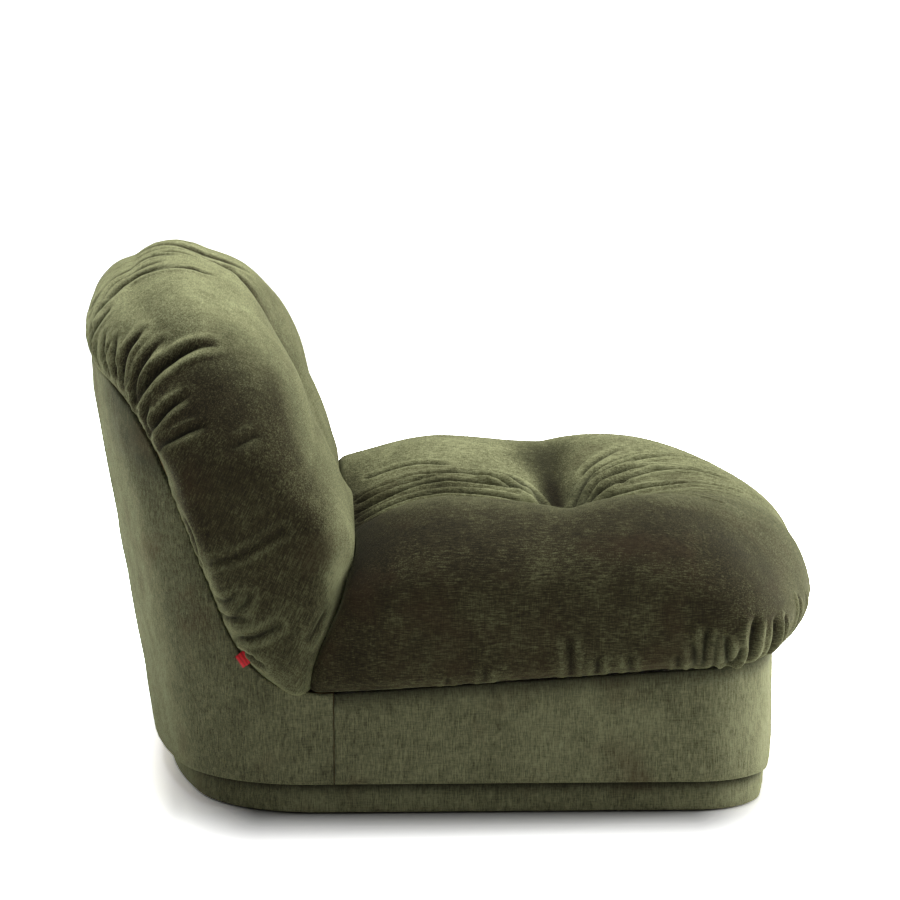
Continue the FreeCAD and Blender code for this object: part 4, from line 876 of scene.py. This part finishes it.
cloth.settle()
# Painted shadow down the middle fold to the tuft, then painted light and shade in patches over the cushion,
# and painted highlights along the folds' ridges
cloth.shadow([(0, 262, 640), (0, 285, 664), (0, 318, 684), (0, 345, 697)], 11, 0.9)
kept(back, "painted_shade", cloth.closed)
BACK_PAINTED_LIGHT = (
    ((-400, 300, 595), (110, 50, 45), -0.18),
    ((-400, 355, 530), (60, 35, 35), -0.3),
    ((-420, 330, 540), (90, 70, 70), -0.15),
    ((-420, 350, 460), (90, 110, 90), -0.25),
    ((-420, 148, 320), (90, 22, 75), 0.9),
    ((-420, 215, 225), (90, 60, 60), 0.12),
    ((-420, 205, 180), (90, 60, 26), 0.3),
    ((-420, 290, 310), (90, 30, 60), 0.1),
    ((-420, 322, 350), (90, 22, 40), 0.15),
    ((-250, 490, 620), (200, 40, 60), 0.75),
    ((-330, 420, 590), (110, 45, 45), -0.3),
)
paint_light_patches(back, BACK_PAINTED_LIGHT, 0.45 * cloth.ridge_highlights)
made_smooth(back)
back.data.materials.append(back_chenille)
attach(back, "root")
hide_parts("back_cover", "back_foam_core", "back_fibre_filling")


# The tab: a short end of red woven tape, folded double and caught in the seam between the back cushion and
# the shell. It stands out down and back from the seam, and its outer fold lifts a little off the cloth. It
# is left bare.

TAPE_WIDTH, TAPE_OUT, TAPE_THICK = 19 * MM, 16 * MM, 1.5 * MM
TAPE_LONG, TAPE_ACROSS = 12, 14
SEAM_SPOT = Vector((0, 270, 215)) * MM
TAPE_RUN, TAPE_SIDE = Vector((0, 0.825, -0.565)), Vector((0, 0.565, 0.825))


def grid_faces(long, across):
    """The faces of a sheet whose corners are listed row by row."""
    firsts = [i * (across + 1) + k for i in range(long) for k in range(across)]
    return [(a, a + 1, a + across + 2, a + across + 1) for a in firsts]


def thickened(piece, thick, round_edge):
    """Gives a sheet its thickness, half to each side, with rounded edges."""
    shaped(piece, "SOLIDIFY", thickness=thick, offset=0)
    shaped(piece, "BEVEL", width=round_edge, segments=2, angle_limit=math.radians(50))
    made_smooth(piece)


shell_skin = BVHTree.FromPolygons(corners(shell).tolist(), [tuple(p.vertices) for p in shell.data.polygons])
grid = []
for i in range(TAPE_LONG + 1):
    for k in range(TAPE_ACROSS + 1):
        run, side = i / TAPE_LONG, k / TAPE_ACROSS - 0.5
        spot = SEAM_SPOT + TAPE_RUN * (run * TAPE_OUT - 2 * MM)
        spot += TAPE_SIDE * side * TAPE_WIDTH * (1 - 0.05 * run)
        met = shell_skin.find_nearest(Vector((-HALF_WIDTH, spot.y, spot.z)))[0]
        lift = (0.5 + 2.6 * run**2 + 0.7 * math.sin(3.4 * side + 0.8) * run) * MM
        grid.append((met.x - lift - TAPE_THICK / 2, spot.y, spot.z))
tab = new_piece("red_tape_tab", grid, grid_faces(TAPE_LONG, TAPE_ACROSS))
thickened(tab, TAPE_THICK, 0.45 * MM)

# Red polyester tape: a soft rib every 4.4 mm across it, with a fine thread that catches a little light
red_tape, tree = finish("red_woven_tape")
place = add(tree, "TexCoord")["Object"]
turned = add(tree, "Mapping", Vector=place, Rotation=(math.radians(34.5), 0, 0))[0]
ribs = add(tree, "TexWave", {"bands_direction": "Y"}, Vector=turned, Scale=500 / 7, Distortion=0.6)
thread = add(tree, "TexNoise", Vector=turned, Scale=900, Detail=2)["Fac"]
weave = worked(tree, "MULTIPLY_ADD", thread, 0.7, ribs["Fac"])
surfaced(
    tree,
    Base_Color=blended(tree, ranged(tree, weave, 0.2, 1.5), linear("#a50a13"), linear("#e8232e")),
    Roughness=0.55,
    Specular_IOR_Level=0.4,
    Sheen_Weight=0.05,
    Normal=add(tree, "Bump", Strength=0.6, Distance=0.0003, Height=weave)[0],
)
tab.data.materials.append(red_tape)
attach(tab, "root")
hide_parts("label_tab")


# Under the plinth and over the springs: thin black lining, stapled round its edge, as stretched as a hand
# pulls it. The dust cover closes the plinth from below. The spring cover keeps the pad out of the springs.

COVER_INSET, COVER_LEVEL, COVER_THICK = 68.6 * MM, 3.7 * MM, 0.6 * MM
CLOTH_INSET, CLOTH_LEVEL, CLOTH_THICK = 12.2 * MM, 151.2 * MM, 1.2 * MM
LINING_ROUNDS = 14


def lining(name, outline, level, thick, sag):
    """A thin sheet with a stapled edge, that sags and is puckered near its staples, and its flat area."""
    outline = outline[:, :2]
    middle = outline.mean(0)
    count = len(outline)
    top = []
    for i in range(LINING_ROUNDS):
        share = 1 - i / LINING_ROUNDS
        z = level - sag * (1 - share**2) + 0.25 * MM * np.sin(np.arange(count) * 0.9) * share**10
        top += np.column_stack([middle + share * (outline - middle), z]).tolist()
    faces = []
    for k in range(count):
        m = (k + 1) % count
        for i in range(0, (LINING_ROUNDS - 1) * count, count):
            faces.append((i + k, i + m, i + count + m, i + count + k))
        faces.append((len(top) - count + k, len(top) - count + m, len(top)))
    piece = new_piece(name, [*top, [*middle, level - sag]], faces)
    thickened(piece, thick, 0.2 * thick)
    x, y = outline.T
    return piece, 0.5 * abs(float(np.dot(x, np.roll(y, -1)) - np.dot(y, np.roll(x, -1))))


# Non-woven polypropylene: pressed fibres with a small diamond of dents every 2 mm, matt black
black_lining, tree = finish("black_nonwoven_lining")
place = add(tree, "TexCoord")["Object"]
turned = add(tree, "Mapping", Vector=place, Rotation=(0, 0, math.radians(45)))[0]
fibres = add(tree, "TexNoise", Vector=place, Scale=420, Detail=4, Roughness=0.7)["Fac"]
dents = add(tree, "TexVoronoi", Vector=turned, Scale=1 / (2 * MM), Randomness=0.0)["Distance"]
raised = worked(tree, "MULTIPLY_ADD", fibres, 0.6, ranged(tree, dents, 0.1, 0.3))
surfaced(
    tree,
    Base_Color=blended(tree, fibres, linear("#17171a"), linear("#35353a")),
    Roughness=0.8,
    Specular_IOR_Level=0.25,
    Normal=add(tree, "Bump", Strength=0.5, Distance=0.0003, Height=raised)[0],
)

dust_cover, area = lining("dust_cover_sheet", inset(ring, COVER_INSET), COVER_LEVEL, COVER_THICK, 1.2 * MM)
dust_cover.data.materials.append(black_lining)
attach(dust_cover, "root")
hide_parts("dust_cover")

spring_line = inset(band_line, CLOTH_INSET)
spring_cover, area = lining("spring_cover_sheet", spring_line, CLOTH_LEVEL, CLOTH_THICK, 0.3 * MM)
spring_cover.data.materials.append(black_lining)
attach(spring_cover, "root")
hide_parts("deck_cloth")


# The deck pad: a thick wedge of needled felt on the spring cover, under the seat cushion, with soft edges.
# It is cut to the base's outline and lies loose, held down by the cushion.

# Needled felt of mixed recycled fibres: pale grey with darker and brown flecks, and a pitted, matt face
grey_felt, tree = finish("needled_felt")
place = add(tree, "TexCoord")["Object"]
flecks = add(tree, "TexNoise", Vector=place, Scale=300, Detail=5, Roughness=0.75)["Fac"]
clumps = add(tree, "TexNoise", Vector=place, Scale=45, Detail=3)["Fac"]
mixed = worked(tree, "MULTIPLY_ADD", clumps, 0.6, flecks)
surfaced(
    tree,
    Base_Color=blended(tree, ranged(tree, mixed, 0.55, 1.05), linear("#8f8b82"), linear("#d6d3ca")),
    Roughness=0.95,
    Specular_IOR_Level=0.1,
    Normal=add(tree, "Bump", Strength=0.8, Distance=0.001, Height=mixed)[0],
)

deck_pad = even_skin("deck_felt_pad", "deck_pad", 8 * MM, 2)
places = corners(deck_pad)
dimples = ripples(places[:, 0], places[:, 1], 17, 0.12) + 0.6 * ripples(places[:, 1], places[:, 0], 23, 0.07)
places[:, 2] += (0.6 * dimples - 0.5) * MM * (places[:, 2] > 153 * MM)
set_corners(deck_pad, places)
made_smooth(deck_pad)
deck_pad.data.materials.append(grey_felt)
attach(deck_pad, "root")
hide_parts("deck_pad")


# The back's webbing: three belts of woven elastic across the frame, stapled to the uprights. Each gives a
# little towards the rear in its middle, where the cushion leans on it.

BELT_REACH, BELT_THICK, BELT_GIVE = 261.5 * MM, 1.4 * MM, 4 * MM
BELT_LONG, BELT_ACROSS = 60, 8
# The lower and the upper edge of each belt, as (y, z) in millimetres
BELT_EDGES = (
    ((303.8, 253.8), (322.2, 300.4)),
    ((327.7, 315.2), (346.0, 361.7)),
    ((351.6, 376.5), (369.8, 423.0)),
)

# Woven elastic: dark brown polyester over rubber, with a rib every 6 mm along it
brown_webbing, tree = finish("elastic_webbing")
place = add(tree, "TexCoord")["Object"]
ribs = add(tree, "TexWave", {"bands_direction": "X"}, Vector=place, Scale=math.pi / 10 / (6 * MM))["Fac"]
thread = add(tree, "TexNoise", Vector=place, Scale=700, Detail=2)["Fac"]
weave = worked(tree, "MULTIPLY_ADD", thread, 0.6, ribs)
surfaced(
    tree,
    Base_Color=blended(tree, weave, linear("#3c3226"), linear("#7d6a50")),
    Roughness=0.85,
    Specular_IOR_Level=0.2,
    Normal=add(tree, "Bump", Strength=0.6, Distance=0.0006, Height=weave)[0],
)

for number, edges in enumerate(BELT_EDGES, 1):
    low_edge, high_edge = np.array(edges) * MM
    grid = []
    for run in np.linspace(-1, 1, BELT_LONG + 1):
        for share in np.linspace(0, 1, BELT_ACROSS + 1):
            y, z = low_edge + (high_edge - low_edge) * share
            grid.append((run * BELT_REACH, y + BELT_GIVE * (1 - run**2) * (1 - run**4), z))
    belt = new_piece(f"back_belt_{number}", grid, grid_faces(BELT_LONG, BELT_ACROSS))
    thickened(belt, BELT_THICK, 0.3 * MM)
    belt.data.materials.append(brown_webbing)
    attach(belt, "root")
    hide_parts("back_webbing")


# The tuft twines: two-ply waxed twine, drawn tight from each cushion's tuft to a nylon disc behind the
# frame's cloth. The two plies are laid round each other, one turn in 7 mm.

TWINE_PLY, TWINE_PITCH, TURN_STEPS = 0.6 * MM, 7 * MM, 8
TWINES = (
    ("seat_twine", "seat_tuft_twine", (0, -165, 150.6), (0, -165, 296)),
    ("back_twine", "back_tuft_twine", (0, 384.6, 457.8), (0, 262, 507)),
)

# Waxed polyester twine: dull green-brown, with a slight shine on each strand
waxed_twine, tree = finish("waxed_twine")
surfaced(tree, Base_Color=linear("#4f5038"), Roughness=0.5, Specular_IOR_Level=0.45)

for name, node, low, high in TWINES:
    low, high = Vector(low) * MM, Vector(high) * MM
    run = high - low
    side = run.orthogonal().normalized()
    other = run.normalized().cross(side)
    curve = bpy.data.curves.new(name, "CURVE")
    curve.dimensions = "3D"
    curve.bevel_depth = TWINE_PLY
    curve.bevel_resolution = 2
    curve.use_fill_caps = True
    steps = int(run.length / TWINE_PITCH * TURN_STEPS)
    for ply in (0, math.pi):
        strand = curve.splines.new("POLY")
        strand.points.add(steps)
        for i in range(steps + 1):
            turn = 2 * math.pi * i / TURN_STEPS + ply
            spot = low + run * i / steps + TWINE_PLY * (math.cos(turn) * side + math.sin(turn) * other)
            strand.points[i].co = (*spot, 1)
    twine = linked(name, curve)
    twine.data.materials.append(waxed_twine)
    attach(twine, "root")
    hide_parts(node)


# The frame under the cloth: plywood rings, ribs and uprights, softwood rails and posts, and bent fibreboard
# round the outside. Each board keeps its own grain and colour, and none of it is finished.


def timber(name, grain, pale, dark, along, plies=0.0):
    """Bare wood with its grain along one axis, grain millimetres wide. plies is a layer's thickness in
    millimetres, which shows as bands on the cut edges."""
    material, tree = finish(name)
    place = add(tree, "TexCoord")["Object"]
    scale = [1 / (grain * MM)] * 3
    scale[along] /= 14
    streaks = add(tree, "Mapping", Vector=place, Scale=scale)[0]
    streaks = add(tree, "TexNoise", Vector=streaks, Scale=1.0, Detail=5, Roughness=0.6, Distortion=0.8)["Fac"]
    pores = add(tree, "TexNoise", Vector=place, Scale=500, Detail=3)["Fac"]
    shade = ranged(tree, worked(tree, "MULTIPLY_ADD", pores, 0.3, streaks), 0.45, 0.85)
    colour = blended(tree, shade, linear(pale), linear(dark))
    if plies:
        level = add(tree, "SeparateXYZ", Vector=place)[2]
        level = worked(tree, "SINE", worked(tree, "MULTIPLY", level, math.pi / (plies * MM)))
        upright = add(tree, "SeparateXYZ", Vector=add(tree, "NewGeometry")["Normal"])[2]
        edge = worked(tree, "LESS_THAN", worked(tree, "ABSOLUTE", upright), 0.5)
        band = worked(tree, "MULTIPLY", ranged(tree, level, -0.2, 0.2, 0.0, 0.45), edge)
        colour = blended(tree, band, colour, linear(dark))
    bump = add(tree, "Bump", Strength=0.3, Distance=0.0003, Height=shade)[0]
    surfaced(tree, Base_Color=colour, Roughness=0.7, Specular_IOR_Level=0.3, Normal=bump)
    return material


def plain(name, hex_colour, rough, metal=0.0, speckle=0.2, scale=600, relief=0.0001):
    """A material of one colour with a fine speckle, matt or metallic."""
    material, tree = finish(name)
    grit = add(tree, "TexNoise", Vector=add(tree, "TexCoord")["Object"], Scale=scale, Detail=3)["Fac"]
    darker = [share * (1 - speckle) for share in linear(hex_colour)[:3]]
    colour = blended(tree, grit, (*darker, 1), linear(hex_colour))
    bump = add(tree, "Bump", Strength=0.4, Distance=relief, Height=grit)[0]
    surfaced(tree, Base_Color=colour, Roughness=rough, Metallic=metal, Normal=bump)
    return material


BARE = {
    # Birch plywood: pale, close-grained faces and 1.4 mm plies at the edges
    "plywood": timber("birch_plywood", 9, "#d9bd8f", "#b48f5f", 0, plies=1.4),
    # Planed spruce: yellow, with a wide, soft grain along the rails
    "softwood": timber("planed_spruce", 14, "#e0c595", "#bf9759", 0),
    # Thin fibreboard: even, brown and slightly hairy
    "bent_board": plain("bent_fibreboard", "#a98a5f", 0.85, speckle=0.35, scale=260, relief=0.0002),
    # Zinc-plated steel: pale grey with a satin shine
    "screw_steel": plain("zinc_plated_steel", "#c9ccd0", 0.32, metal=1.0, speckle=0.15, scale=160),
    # Oiled spring wire: dark, smooth steel
    "spring_steel": plain("oiled_spring_wire", "#6a6a70", 0.35, metal=1.0, scale=200),
    # Moulded black nylon, with a fine spark-eroded grain
    "glide": plain("black_nylon", "#101012", 0.5),
    # The spring clips: the same nylon, a little shinier
    "clip_plastic": plain("black_clip_plastic", "#1b1b1d", 0.45),
    # Moulded white nylon discs, a little yellowed
    "anchor_plastic": plain("white_nylon", "#dcd9cd", 0.4, speckle=0.08, scale=400),
}
for row in frame["record"]["subparts"]:
    if row["material_slot"] in BARE:
        board = frame["nodes"][row["node"]]
        board.data.materials.clear()
        board.data.materials.append(BARE[row["material_slot"]])
